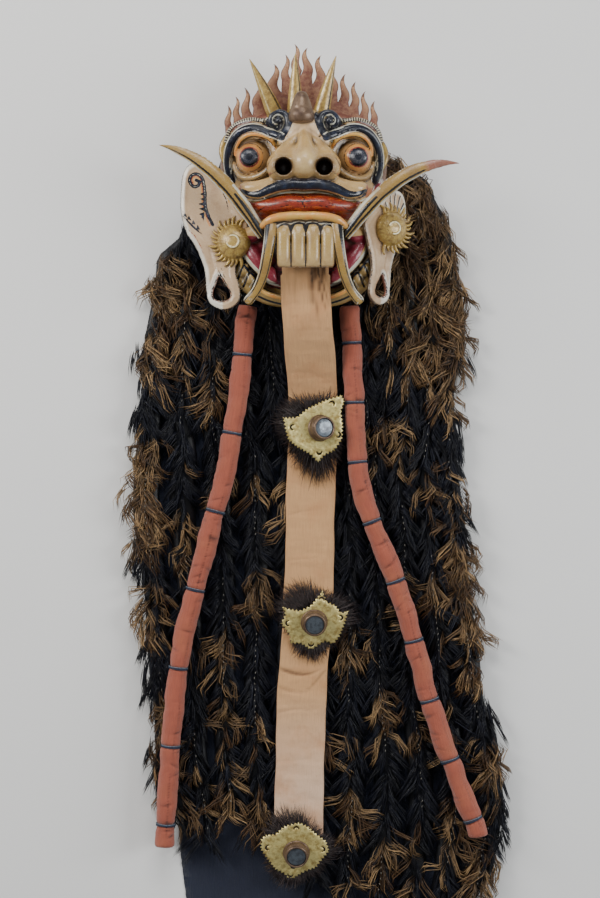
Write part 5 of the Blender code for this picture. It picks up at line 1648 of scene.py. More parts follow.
def tongue(surface):
    """The flat stuffed cloth tongue, creased where it leaves the mouth and under its fittings."""
    start, foot = -0.104, -0.925
    y = np.linspace(start, foot, 400)
    slope = np.gradient(tongue_height(y), y)
    ahead = unit(np.column_stack([np.zeros(len(y)), np.ones(len(y)), slope]))
    across = np.tile((1.0, 0, 0), (len(y), 1))
    path = np.column_stack([curved(TONGUE_LINE, y), y, tongue_height(y)])
    half = TONGUE_WIDTH / 2 * (0.985 + 0.012 * np.sin(y * 41) + 0.010 * np.sin(y * 97 + 1))
    half = half * np.where(y > -0.15, 0.93, 1.0)
    thick = TONGUE_THICKNESS / 2 * (0.92 + 0.10 * np.sin(y * 60 + 0.6))
    up = np.cross(across, ahead)
    rings = sections(path, across, up, half, thick, 44, 3.0)
    verts, faces = skin(rings)
    x = verts[:, 0] - along(TONGUE_LINE, verts[:, 1])
    v = verts[:, 1]
    fold = np.zeros(len(verts))
    for points, width, depth in TONGUE_FOLDS:
        fold += crease(x, v, points, width, depth)
    top = np.clip((verts[:, 2] - tongue_height(v)) / (TONGUE_THICKNESS / 2), 0, 1)
    ripple = 0.0007 * waves(np.column_stack([x * 1.2, v]), 22, 3)
    ripple += 0.0005 * waves(np.column_stack([x * 0.25, v]), 55, 8, 2)
    verts[:, 2] += top * (ripple - fold)
    obj = add_object("tongue_cloth_piece", verts, faces, surface, ["tongue"])
    store(obj, "across", x)
    store(obj, "along", v)
    # How dark the creases are painted: painted shade on the top face only.
    store(obj, "fold", np.clip(fold / 0.0030, 0, 0.95) * top)
    # The gathers' painted shadow, darkest at their top ends and fading along them.
    gather_shadow = np.full(len(verts), -1.0)
    for points, width in GATHER_SHADOWS:
        nearest, share = beyond(x, v, through(points, 14))
        gather_shadow = np.maximum(gather_shadow, 1 - share ** 1.3 - nearest / width)
    store(obj, "gather_shadow", gather_shadow * top)
    store(obj, "pale", np.clip((-0.70 - v) / 0.18, 0, 0.8))
    return obj


TUBE_HEAD = -0.188
TUBE_FOOT = {-1: -0.914, 1: -0.900}
TIES = {-1: 7, 1: 9}


def tube_points(side, y):
    """The middle line of a tube at each y."""
    gap = curved(RIGHT_TUBE_GAP if side > 0 else LEFT_TUBE_GAP, y)
    x = curved(TONGUE_LINE, y) + side * (TONGUE_WIDTH / 2 + gap + TUBE_DIAMETER / 2)
    z = np.full(len(y), HAIR_TOP + 0.0004 + TUBE_DIAMETER / 2)
    return np.column_stack([x, y, z])


def tie_rows(side):
    """How far down each tie on a tube is."""
    pitch = (TUBE_FOOT[side] - TUBE_HEAD) / (TIES[side] - 0.10)
    return [TUBE_HEAD + pitch * (i + 0.62) for i in range(TIES[side])]


def tube_frame(side, y):
    """A tube's middle line at each y, with the ways across it and up from it."""
    path = tube_points(side, y)
    ahead = unit(tube_points(side, y - 0.006) - tube_points(side, y + 0.006))
    across = unit(np.cross((0, 0, 1.0), ahead))
    return path, across, np.cross(ahead, across)


def wrinkles(side, turn, y):
    """How deep a tube's short creases are, each on one part of its round."""
    draw = np.random.default_rng(40 + side)
    deep = np.zeros(len(y))
    for _ in range(46):
        at = draw.uniform(TUBE_FOOT[side], TUBE_HEAD)
        bend = turn - draw.uniform(0.2, math.pi - 0.2)
        slant = draw.uniform(-0.006, 0.006)
        spread = draw.uniform(0.35, 0.9)
        width = draw.uniform(0.0010, 0.0022)
        reach = np.exp(-(bend / spread) ** 2)
        deep += draw.uniform(0.5, 1.3) * reach * np.exp(-((y - at - slant * bend) / width) ** 2)
    return deep


def stuffed_tube(side, surface):
    """A stuffed cloth tube, pinched and gathered at its ties, with a seam down its length."""
    head, foot = TUBE_HEAD, TUBE_FOOT[side]
    y = np.linspace(head, foot, 430)
    path, across, up = tube_frame(side, y)
    radius = TUBE_DIAMETER / 2
    near = np.min([np.abs(y - tie) for tie in tie_rows(side)], axis=0)
    share = 1 - 0.20 * np.exp(-(near / 0.0026) ** 2) - 0.035 * np.exp(-(near / 0.012) ** 2)
    ends = np.minimum(np.abs(y - head), np.abs(y - foot))
    share = share * (0.86 + 0.14 * np.clip(ends / 0.005, 0, 1) ** 0.5)
    path[:, 0] += 0.0006 * waves(y[:, None], 14, 41 + side)
    half = radius * share * (0.955 + 0.03 * np.sin(y * 57 + side))
    sides = 32
    rings = sections(path, across, up, half, half * 0.99, sides)
    turn = np.linspace(0, math.tau, sides, endpoint=False)
    grid_turn = np.tile(turn, len(y))
    grid_y = np.repeat(y, sides)
    grid_near = np.repeat(near, sides)
    outward = unit(rings - path[:, None]).reshape(-1, 3)
    gathers = 0.0007 * np.sin(grid_turn * 13 + 2 * np.sin(grid_y * 90)) * np.exp(-grid_near / 0.009)
    wrinkle = wrinkles(side, grid_turn, grid_y)
    seam_turn = 1.15 + 0.25 * np.sin(grid_y * 19 + side)
    seam = np.exp(-((grid_turn - seam_turn) / 0.07) ** 2)
    ridge = np.exp(-((grid_turn - seam_turn - 0.16) / 0.09) ** 2)
    lumps = 0.0009 * waves(np.column_stack([grid_y * 3, np.cos(grid_turn) * 0.03,
                                            np.sin(grid_turn) * 0.03]), 9, 44 + side)
    move = gathers + lumps - 0.0012 * wrinkle - 0.0006 * seam + 0.0005 * ridge
    verts, faces = skin((rings.reshape(-1, 3) + outward * move[:, None]).reshape(rings.shape))
    name = sided("stuffed_tube", side)
    obj = add_object(name + "_cloth", verts, faces, surface, [name])
    ring_ends = lambda values: np.concatenate([values, values[:1], values[-1:]])
    store(obj, "across", ring_ends(grid_turn * radius))
    store(obj, "along", ring_ends(grid_y))
    # Painted shade in the wrinkles, along the seam's groove and where the ties pinch the tube; the
    # dashes along the seam are its stitches.
    stitch = 0.20 + 0.4 * (np.sin(grid_y * math.tau / 0.004) > 0.2)
    shade = 0.5 * wrinkle + stitch * seam + 0.5 * np.exp(-(grid_near / 0.0028) ** 2)
    shade = np.clip(shade, 0, 0.8)
    store(obj, "fold", ring_ends(shade))
    return obj


def ties(side, surface):
    """Thread wound round a tube: two dark turns and a pale one above them, at each tie."""
    name = "right" if side > 0 else "left"
    rows = tie_rows(side)
    all_verts, all_faces, light = [], [], []
    steps, around = 30, 6
    thread = 0.00068
    ring = TUBE_DIAMETER / 2 * 0.905
    turn = np.linspace(0, math.tau, steps, endpoint=False)
    angle = np.linspace(0, math.tau, around, endpoint=False)
    faces = grid_faces(steps + 1, around, True) % (steps * around)
    for i, y in enumerate(rows):
        for shift, pale in ((-0.0011, 0), (0.0, 0), (0.0012, 1)):
            path, across, up = tube_frame(side, np.array([y + shift]))
            wobble = 0.0003 * np.sin(turn * 2 + i + shift * 2000)
            ahead = np.cross(up, across)[0]
            spine = (path + np.cos(turn)[:, None] * across * ring
                     + np.sin(turn)[:, None] * up * ring + wobble[:, None] * ahead)
            outward = unit(spine - path)
            tube = (spine[:, None] + thread * (np.cos(angle)[None, :, None] * outward[:, None]
                                               + np.sin(angle)[None, :, None] * ahead))
            all_faces.append(faces + len(all_verts) * steps * around)
            all_verts.append(tube.reshape(-1, 3))
            light.append(np.full(steps * around, pale * 0.9))
    obj = add_object("ties_" + name, np.vstack(all_verts), [np.vstack(all_faces)], surface,
                     [f"tie_{name}_{i + 1}" for i in range(len(rows))])
    store(obj, "light", np.concatenate(light))


# Each medallion's name, its place across and along, the way it faces, and its height
MEDALLIONS = (("upper", 0.016, -0.352, (0.12, 0.02, 1.0), 0.0255),
              ("middle", 0.014, -0.612, (0.06, -0.22, 1.0), 0.0155),
              ("lower", -0.010, -0.921, (0.02, -0.26, 1.0), 0.0155))
# The plates' outlines, how far each is bent, and its crescents' middles and turns
PLATES = [
    [(-45, 14.5), (-26, 15.5), (-12, 27), (11, 38), (35.5, 46), (40, 36), (35, 22), (37.5, 4),
     (36, -16), (26, -31), (13, -37), (3.5, -47), (-8, -36), (-25, -27), (-38, -17), (-42, -3)],
    [(-43, 22), (-19, 17), (-5, 24), (11, 44), (17, 29), (29, 24), (36, 14), (46, 16), (43, 0),
     (37, -16), (34, -23), (26, -33), (15, -28), (-4, -41), (-18, -31), (-33, -31), (-34, -18),
     (-46, -1), (-40, 11)],
    [(-48, 21), (-41, 27), (-29, 27), (-16, 39), (3, 44), (15, 39), (27, 28), (41, 17), (45, 3),
     (36, -10), (27, -23), (10, -30), (-8, -43), (-16, -33), (-29, -25), (-41, -7), (-49, 7)]]
PLATE_BENDS = (1.5, 1.0, 1.2)
CRESCENTS = [
    [((-31, 1), 3.0), ((22, 33), 1.0), ((5, -32), -1.5), ((30, -9), -0.3)],
    [((-35, -1), 3.1), ((10, 31), 1.3), ((35, 6), 0.2), ((-4, -31), -1.6)],
    [((-38, 8), 3.0), ((0, 34), 1.6), ((35, 5), 0.1), ((-8, -33), -1.8)]]


def sawn(outline, pitch, depth):
    """A closed outline whose edge is cut into sawteeth."""
    loop = straight_loop(outline, pitch / 2)
    loop = loop[:len(loop) // 2 * 2]
    ahead = unit(np.roll(loop, -1, axis=0) - np.roll(loop, 1, axis=0))
    inward = np.column_stack([-ahead[:, 1], ahead[:, 0]])
    area = np.sum(loop[:, 0] * np.roll(loop[:, 1], -1) - np.roll(loop[:, 0], -1) * loop[:, 1])
    return loop + inward * np.sign(area) * depth * (np.arange(len(loop)) % 2)[:, None]


def crescent(middle, turn, size):
    """A small hole shaped like a crescent that opens towards the plate's middle."""
    ahead = np.array((math.cos(turn), math.sin(turn)))
    aside = np.array((-math.sin(turn), math.cos(turn)))
    outer = [middle + size * (math.cos(a) * ahead + math.sin(a) * aside)
             for a in np.linspace(-1.9, 1.9, 14)]
    inner = [middle + size * ((0.72 * math.cos(a) - 0.34) * ahead + 0.72 * math.sin(a) * aside)
             for a in np.linspace(1.6, -1.6, 12)]
    return np.array(outer + inner)


def plate_place(point, axis):
    """A placement whose +Z is along the axis and whose +X looks right from the front."""
    place = facing(point, axis)
    right = place.to_3x3() @ Vector((1, 0, 0))
    return place @ Matrix.Rotation(-math.atan2(right.y, right.x), 4, "Z")


def plate_relief(x, y, inside):
    """Beads round the bezel, leaves outside them, and a raised rim."""
    r = np.hypot(x, y)
    angle = np.arctan2(y, x)
    beads = 0.55 * np.exp(-((r - 24) / 1.6) ** 2) * np.maximum(0, np.cos(angle * 16))
    leaves = 0.5 * np.exp(-((r - 30) / 3.5) ** 2) * np.cos(angle * 12) ** 2
    rim = 0.5 * np.exp(-((inside - 3.2) / 0.9) ** 2)
    return beads + leaves + rim


def plate(name, order, place, surface):
    """A pierced brass plate with a sawn edge, bent a little outside its bezel."""
    loops = [sawn(PLATES[order], 5.4, 3.2)]
    loops += [crescent(np.array(middle), turn, 4.0) for middle, turn in CRESCENTS[order]]
    node = "medallion_plate_" + name
    obj, verts, _, _ = cut_sheet(node + "_brass", loops, 1.9, 1.0, place, surface,
                                 node, plate_relief, 0.4)
    coords = np.zeros(len(verts) * 3, np.float32)
    obj.data.vertices.foreach_get("co", coords)
    coords = coords.reshape(-1, 3).astype(float)
    x, y = verts[:, 0], verts[:, 1]
    saddle = PLATE_BENDS[order] * ((x / 40) ** 2 - 0.5 * (y / 40) ** 2) * 1.6
    free = np.clip(np.hypot(x, y) / 20 - 0.8, 0, 1)
    lift = (saddle + 0.5 * waves(verts[:, :2], 0.02, 60 + order)) * free
    coords += np.outer(lift * UNIT, np.array(place.to_3x3() @ Vector((0, 0, 1))))
    obj.data.vertices.foreach_set("co", coords.astype(np.float32).ravel())
    store(obj, "wear", np.zeros(len(verts)))


def mirror(name, place, bronze, glass):
    """A turned bronze bezel with a slightly domed mirror in it."""
    b, h, inner = BEZEL_RADIUS, BEZEL_HEIGHT, MIRROR_RADIUS + 0.0003
    profile = [(0.0002, h * 0.79), (inner, h * 0.80), (inner, h * 0.97), (b * 0.84, h),
               (b * 0.93, h * 0.93), (b * 0.95, h * 0.80), (b * 0.90, h * 0.68),
               (b * 0.97, h * 0.55), (b * 0.99, h * 0.20), (b * 1.03, h * 0.10), (b * 1.03, 0),
               (0.0002, 0)]
    node = "medallion_bezel_" + name
    turned(node + "_bronze", profile, 44, place, bronze, [node])
    r = MIRROR_RADIUS
    dome = [(0.0002, h * 0.93), (r * 0.5, h * 0.925), (r * 0.9, h * 0.89), (r, h * 0.87),
            (r, h * 0.80), (0.0002, h * 0.80)]
    node = "medallion_mirror_" + name
    turned(node + "_glass", dome, 36, place, glass, [node])


def medallions(brass, bronze, glass, fur):
    """Pierced brass plates on fur, each with a clouded mirror in a turned bronze bezel."""
    for order, (name, x, y, aim, lift) in enumerate(MEDALLIONS):
        place = plate_place((x, y, float(tongue_height(y)) + lift), aim)
        plate(name, order, place, brass)
        aside, lean = (0.006, 16) if order == 0 else (0.0, 0)
        seat = place @ Matrix.Translation((aside, 0, 0.0011))
        seat = seat @ Matrix.Rotation(math.radians(lean), 4, "Y")
        mirror(name, seat, bronze, glass)
        ruff(name, order, place, aim, fur)


# Hair, as fine closed spindles
def spindles(paths, radii):
    """Closed spindle meshes along many short paths: a point, three-sided rings, a point."""
    count, stops = paths.shape[:2]
    rings = stops - 2
    ahead = unit(paths[:, 2:] - paths[:, :-2])
    side = unit(np.cross(ahead, (0, 0, 1.0)))
    up = np.cross(side, ahead)
    angle = np.radians((90, 210, 330))
    middle = paths[:, 1:-1, None] + radii[:, :, None, None] * (
        np.cos(angle)[None, None, :, None] * side[:, :, None]
        + np.sin(angle)[None, None, :, None] * up[:, :, None])
    verts = np.concatenate([paths[:, :1], middle.reshape(count, rings * 3, 3), paths[:, -1:]],
                           axis=1)
    each = rings * 3 + 2
    triangles, quads = [], []
    for j in range(3):
        k = (j + 1) % 3
        triangles.append((0, 1 + k, 1 + j))
        last = 1 + (rings - 1) * 3
        triangles.append((each - 1, last + j, last + k))
        for r in range(rings - 1):
            a, b = 1 + r * 3, 1 + (r + 1) * 3
            quads.append((a + j, a + k, b + k, b + j))
    base = (np.arange(count) * each)[:, None, None]
    faces = [(np.array(triangles)[None] + base).reshape(-1, 3)]
    if quads:
        faces.append((np.array(quads)[None] + base).reshape(-1, 4))
    return verts.reshape(-1, 3), faces


# The cape's edges, as pairs of y and the distance from the middle
LEFT_EDGE = [(0.045, 0.085), (-0.020, 0.125), (-0.085, 0.170), (-0.125, 0.205), (-0.270, 0.225),
             (-0.450, 0.239), (-0.610, 0.221), (-0.770, 0.208), (-0.900, 0.183), (-1.030, 0.172)]
RIGHT_EDGE = [(0.045, 0.095), (-0.030, 0.180), (-0.085, 0.204), (-0.220, 0.224), (-0.310, 0.208),
              (-0.380, 0.213), (-0.530, 0.228), (-0.700, 0.247), (-0.790, 0.271), (-0.860, 0.278),
              (-0.940, 0.262), (-1.030, 0.238)]
CAPE_HEAD = 0.045
CAPE_FOOT = -1.030
# How much shorter each lock is than the cape, and how many lie on the left and the right
LOCK_SHORT = [0.135, 0.115, 0.150, 0.130, 0.095, 0.060, 0.045, 0.030, 0.015, 0.000, 0.020]
LOCKS = {-1: 5, 1: 6}
HAIRS_PER_CLUMP = 9
RUFF_HAIRS = 2300
MASK_HALF = 0.088  # no hair grows where the mask lies on the cape
MASK_FOOT = -0.150
STOPS = np.array((0.0, 0.30, 0.66, 1.0))  # shares of a hair's length


def lane(side, k, y):
    """The middle and the half width of a lock's lane at each y."""
    parting = along([(0.0, 0.0006), (-0.110, 0.032), (-0.340, 0.032), (-0.400, 0.0006)], y)
    inner = along(TONGUE_LINE, y) + side * parting
    edge = side * along(RIGHT_EDGE if side > 0 else LEFT_EDGE, y)
    width = (edge - inner) / LOCKS[side]
    return inner + width * (k + 0.5), np.abs(width) / 2


# Where the cape's hair is brown: across, along, and the size of the spot
BROWN_SPOTS = [(-0.185, -0.130, 0.045), (-0.215, -0.450, 0.045), (0.110, 0.000, 0.045),
               (0.165, -0.010, 0.045), (0.200, -0.100, 0.050), (0.205, -0.210, 0.045),
               (0.120, -0.140, 0.040), (0.225, -0.600, 0.035), (-0.020, -0.450, 0.030),
               (-0.160, -0.840, 0.035), (0.020, -0.780, 0.030), (-0.150, -0.180, 0.035),
               (-0.195, -0.240, 0.035), (-0.120, -0.300, 0.03),
               (-0.205, -0.380, 0.03), (-0.090, -0.420, 0.03), (-0.175, -0.500, 0.035),
               (-0.215, -0.600, 0.03), (-0.120, -0.640, 0.03), (-0.065, -0.560, 0.03),
               (-0.100, -0.740, 0.035), (-0.185, -0.740, 0.03), (-0.080, -0.850, 0.035),
               (-0.040, -0.900, 0.03), (0.150, -0.060, 0.05), (0.190, -0.150, 0.04),
               (0.140, -0.230, 0.035), (0.200, -0.300, 0.03), (0.110, -0.360, 0.03),
               (0.180, -0.430, 0.03), (0.150, -0.560, 0.035), (0.215, -0.520, 0.03),
               (0.065, -0.640, 0.03), (0.235, -0.680, 0.03), (0.100, -0.740, 0.03),
               (0.170, -0.760, 0.03), (0.255, -0.800, 0.03), (0.060, -0.860, 0.03),
               (0.120, -0.930, 0.035), (0.205, -0.900, 0.035), (0.060, -0.990, 0.03),
               (0.160, -1.000, 0.03), (0.245, -0.960, 0.03)]


def brownness(x, y, draw):
    """Which hair is brown, by the spot where it grows and by chance."""
    total = np.full(len(x), 0.06)
    for cx, cy, size in BROWN_SPOTS:
        total = total + 0.9 * np.exp(-((x - cx) ** 2 + ((y - cy) * 0.8) ** 2) / size ** 2)
    return total > draw.uniform(0.2, 0.95, len(x))


def lock_clumps(side, k, foot, draw):
    """Where the clumps of a lock grow, the side each is combed to, and which are brown."""
    y = np.repeat(np.arange(0.044, foot + 0.012, -0.0050), 2)
    hand = np.tile((-1.0, 1.0), len(y) // 2)
    y = y + draw.uniform(-0.0030, 0.0030, len(y))
    x, half = lane(side, k, y)
    x = x + 0.0045 * waves(y[:, None], 11, 500 + 10 * k + side, 2) + draw.normal(0, 0.002, len(y))
    hidden = (np.abs(x) < MASK_HALF) & (y > MASK_FOOT) & (y < 0.06)
    brown = brownness(x, y, draw)
    keep = ~hidden & (~brown | (draw.uniform(size=len(y)) < 0.55))
    x, y, half, hand, brown = x[keep], y[keep], half[keep], hand[keep], brown[keep]
    if k == LOCKS[side] - 1:
        again = draw.uniform(size=len(x)) < 0.8
        further = side * half[again] * draw.uniform(0.35, 0.75, again.sum())
        x = np.concatenate([x, x[again] + further])
        y, hand, brown = (np.concatenate([v, v[again]]) for v in (y, hand, brown))
    return x, y, hand, brown


def lock_height(order, y):
    """The top of a lock at y, which falls between its tufts as the solid's does."""
    pitch = (CAPE_HEAD - CAPE_FOOT) / 12
    row = (CAPE_HEAD - y) / pitch + order
    tuft = 0.86 + 0.14 * np.cos(math.pi * row)
    return BACKING_TOP + 0.0004 + (HAIR_TOP - BACKING_TOP) * tuft


def lock_core(side, k, order, foot):
    """The dark mass inside a lock, which lies on the backing."""
    rows = np.linspace(0.043, foot, 90)
    x, half = lane(side, k, rows)
    ends = np.minimum(np.abs(rows - rows[0]), np.abs(rows - foot))
    taper = np.clip(ends / 0.05, 0.12, 1) ** 0.6
    high = (lock_height(order, rows) - BACKING_TOP) * 0.55 * taper
    path = np.column_stack([x, rows, BACKING_TOP + 0.0006 + high / 2])
    across = np.tile((1.0, 0, 0), (len(rows), 1))
    up = np.tile((0, 0, 1.0), (len(rows), 1))
    core = sections(path, across, up, half * 0.72 * taper, high / 2, 14)
    verts, faces = skin(core[:, ::-1])
    verts[:, 2] = np.maximum(verts[:, 2], BACKING_TOP + 0.0006)
    return verts, faces


def lock_strands(side, k, order, foot, draw):
    """The hairs of a lock, combed down and out from its spine, and which clumps are brown."""
    cx, cy, hand, brown = lock_clumps(side, k, foot, draw)
    clumps = len(cx)
    angle = np.radians(draw.uniform(10, 44, clumps)) * hand
    angle = angle + np.radians(16) * waves(np.column_stack([cx * 2, cy]), 9, 300 + order, 2)
    length = draw.uniform(0.030, 0.060, clumps)
    curly = np.where(brown, draw.uniform(0.003, 0.011, clumps), draw.uniform(0, 0.002, clumps))
    angle = angle + np.radians(np.where(brown, draw.normal(0, 12, clumps),
                                        draw.normal(0, 6, clumps)))
    outer = (k == LOCKS[side] - 1) & (np.sin(angle) * side > 0)
    angle = np.where(outer, angle * 0.55, angle)
    length = np.where(outer, length * 0.80, length)

    n = clumps * HAIRS_PER_CLUMP
    each = lambda values: np.repeat(values, HAIRS_PER_CLUMP)
    root_x = each(cx) + draw.normal(0, 0.0016, n) + each(hand) * 0.0016
    root_y = each(cy) + draw.normal(0, 0.0030, n)
    root_z = lock_height(order, root_y) - draw.uniform(0.001, 0.006, n)
    way = each(angle) + draw.normal(0, 0.05, n) + np.where(each(brown), draw.normal(0, 0.12, n), 0)
    reach = each(length) * draw.uniform(0.75, 1.12, n)
    tip_x = each(cx + np.sin(angle) * length) + draw.normal(0, 0.0022, n)
    tip_y = each(cy - np.cos(angle) * length) + draw.normal(0, 0.0035, n)
    gathered = 0.55  # how much of the way to its clump's tip each hair's own tip is drawn
    tip_x = (root_x + np.sin(way) * reach) * (1 - gathered) + tip_x * gathered
    tip_y = (root_y - np.cos(way) * reach) * (1 - gathered) + tip_y * gathered
    tip_z = lock_height(order, tip_y) - draw.uniform(0.004, 0.017, n)
    tip_z = np.maximum(tip_z, BACKING_TOP + 0.002)
    root = np.column_stack([root_x, root_y, root_z])
    tip = np.column_stack([tip_x, tip_y, tip_z])
    paths = root[:, None] + (tip - root)[:, None] * STOPS[None, :, None]
    normal = unit(np.column_stack([-(tip - root)[:, 1], (tip - root)[:, 0], np.zeros(n)]))
    phase = each(draw.uniform(0, math.tau, clumps)) + draw.normal(0, 0.3, n)
    curl = each(curly)[:, None] * np.sin(phase[:, None] + STOPS * 4.2)
    curl = curl - curl[:, :1]
    paths += normal[:, None] * curl[:, :, None]
    paths[:, :, 2] += (0.004 + 0.35 * each(curly))[:, None] * np.sin(math.pi * STOPS) ** 0.8
    radii = np.column_stack([np.full(n, 0.00066), np.full(n, 0.00052)])
    radii *= draw.uniform(0.75, 1.25, (n, 1)) * np.where(each(brown), 1.1, 1.0)[:, None]
    return *spindles(paths, radii), brown


def strand_colours(brown, draw):
    """The colour of each vertex of a lock's hairs, which are darker at their roots."""
    clumps = len(brown)
    n = clumps * HAIRS_PER_CLUMP
    dark = np.array(HAIR_BLACK)[None] * draw.uniform(0.5, 1.9, (clumps, 1))
    blue = draw.uniform(0, 1, (clumps, 1))
    dark = dark * (1 - 0.35 * blue) + np.array(HAIR_BLUE) * 0.35 * blue
    tan = (np.array(HAIR_TAN)
           + (np.array(HAIR_PALE) - HAIR_TAN) * draw.uniform(0, 1.1, (clumps, 1)) ** 1.6)
    root = np.where(brown[:, None], tan * 0.30, dark * 0.8)
    tip = np.where(brown[:, None], tan, dark * 1.15)
    strand = draw.uniform(0.65, 1.35, (n, 1))
    strand = strand * np.where(draw.uniform(size=(n, 1)) < 0.25, 0.35, 1.0)
    root, tip = (np.repeat(ends, HAIRS_PER_CLUMP, axis=0) * strand for ends in (root, tip))
    shares = np.array([0.0] + [0.35] * 3 + [0.75] * 3 + [1.0])[None, :, None]
    return (root[:, None] * (1 - shares) + tip[:, None] * shares).reshape(-1, 3)


def hair_lock(side, k, order, surface):
    """A lock of hair: a dark core, and clumps of hair combed down from its stitched spine."""
    draw = np.random.default_rng(100 + order)
    foot = CAPE_FOOT + LOCK_SHORT[order]
    core, core_faces = lock_core(side, k, order, foot)
    hairs, hair_faces, brown = lock_strands(side, k, order, foot, draw)
    colours = [np.tile(np.array(HAIR_BLACK) * 0.5, (len(core), 1)), strand_colours(brown, draw)]
    stitch, stitch_faces = stitches(side, k, order, foot, draw)
    colours.append(np.tile(np.array(tone(0.62, 0.60, 0.56)), (len(stitch), 1)))
    faces = list(core_faces) + [f + len(core) for f in hair_faces]
    faces += [f + len(core) + len(hairs) for f in stitch_faces]
    obj = add_object(f"hair_{order + 1}", np.vstack([core, hairs, stitch]), faces, surface,
                     [f"hair_lock_{order + 1}"])
    store_colour(obj, "tint", np.vstack(colours))


def stitches(side, k, order, foot, draw):
    """White thread in short stitches down a lock's spine, missing in places."""
    y = np.arange(0.0, foot + 0.02, -0.0075)
    shown = (np.sin(y * 23 + order * 1.7) > -0.1) & (draw.uniform(size=len(y)) < 0.75)
    x, _ = lane(side, k, y)
    shown &= ~((np.abs(x) < MASK_HALF) & (y > MASK_FOOT))
    y, x = y[shown], x[shown]
    z = lock_height(order, y) + 0.0026
    jitter = draw.normal(0, 0.0005, (2, len(y)))
    start = np.column_stack([x + jitter[0], y + 0.0016, z])
    end = np.column_stack([x + jitter[1], y - 0.0016, z])
    stops = np.array((0.0, 0.25, 0.75, 1.0))
    paths = start[:, None] + (end - start)[:, None] * stops[None, :, None]
    return spindles(paths, np.full((len(y), 2), 0.00042))


def ruff_strands(order, centre, aim, floor, draw):
    """Hairs from under a plate, pressed below it and then down to the tongue or the hair."""
    count = RUFF_HAIRS
    turn = draw.uniform(0, math.tau, count)
    start = draw.uniform(0.012, 0.026, count)
    length = draw.uniform(0.018, 0.048, count) * (1 + 0.28 * np.sin(turn * 3 + order))
    length = length * (1 - 0.20 * np.abs(np.cos(turn)))
    length = np.where((np.sin(turn) < -0.1) & (order > 0), length * 0.62, length)
    heading = turn + draw.normal(0.25, 0.45, count) * 0.5
    high = draw.uniform(0.1, 0.7, count) * (centre[2] - floor)
    root = np.column_stack([centre[0] + start * np.cos(turn), centre[1] + start * np.sin(turn),
                            floor + high])
    tip = root + np.column_stack([length * np.cos(heading), length * np.sin(heading) - 0.004,
                                  np.zeros(count)])
    on_tongue = np.abs(tip[:, 0] - along(TONGUE_LINE, tip[:, 1])) < TONGUE_WIDTH / 2
    ground = np.where(on_tongue, tongue_height(tip[:, 1]) + TONGUE_THICKNESS / 2, HAIR_TOP)
    tip[:, 2] = ground + draw.uniform(0.0008, 0.006, count)
    stops = np.array((0.0, 0.33, 0.68, 1.0))
    arch = np.sin(math.pi * stops)
    paths = root[:, None] + (tip - root)[:, None] * stops[None, :, None]
    paths[:, :, 2] += 0.004 * arch
    aside = np.column_stack([-np.sin(heading), np.cos(heading), np.zeros(count)])
    paths += aside[:, None] * (draw.normal(0, 0.0035, count)[:, None] * arch)[:, :, None]
    apart = paths[:, :, :2] - centre[:2]
    under = centre[2] - 0.0022 - (apart[:, :, 0] * aim[0] + apart[:, :, 1] * aim[1]) / aim[2]
    covered = np.hypot(apart[:, :, 0], apart[:, :, 1]) < PLATE_RADIUS + 0.008
    low = np.maximum(np.minimum(paths[:, :, 2], under), floor + 0.0005)
    paths[:, :, 2] = np.where(covered, low, paths[:, :, 2])
    radii = np.tile((0.00052, 0.00040), (count, 1)) * draw.uniform(0.7, 1.3, (count, 1))
    return spindles(paths, radii)


def ruff_core(centre, floor):
    """The dense middle of the fur, a flat lump between the tongue and the plate."""
    rows, sides = 10, 40
    angle = np.linspace(0, math.tau, sides, endpoint=False)
    t = np.linspace(0.06, 1, rows)[:, None]
    reach = PLATE_RADIUS * (0.62 + 0.05 * np.cos(3 * angle))
    reach = reach * np.sqrt(np.clip(1 - (2 * t - 1) ** 2, 0.02, 1))
    high = floor + 0.0006 + np.maximum(centre[2] - floor - 0.003, 0.006) * t
    return skin(np.stack([centre[0] + reach * np.cos(angle), centre[1] + reach * np.sin(angle),
                          np.repeat(high, sides, axis=1)], axis=-1))


def ruff(name, order, place, aim, surface):
    """Black fur that spreads from under a medallion's plate."""
    draw = np.random.default_rng(200 + order)
    centre = np.array(place.translation)
    floor = float(tongue_height(centre[1])) + TONGUE_THICKNESS / 2
    verts, faces = ruff_strands(order, centre, aim, floor, draw)
    core, core_faces = ruff_core(centre, floor)
    strand = draw.uniform(0.5, 1.8, (RUFF_HAIRS, 1, 1))
    shares = np.array([0.6] + [0.8] * 3 + [1.1] * 3 + [1.5])
    colours = np.array(FUR)[None, None] * strand * shares[None, :, None]
    obj = add_object(f"fur_ruff_{name}_hairs", np.vstack([core, verts]),
                     list(core_faces) + [f + len(core) for f in faces], surface,
                     [f"fur_ruff_{name}"])
    store_colour(obj, "tint", np.vstack([np.tile(np.array(FUR) * 0.5, (len(core), 1)),
                                         colours.reshape(-1, 3)]))


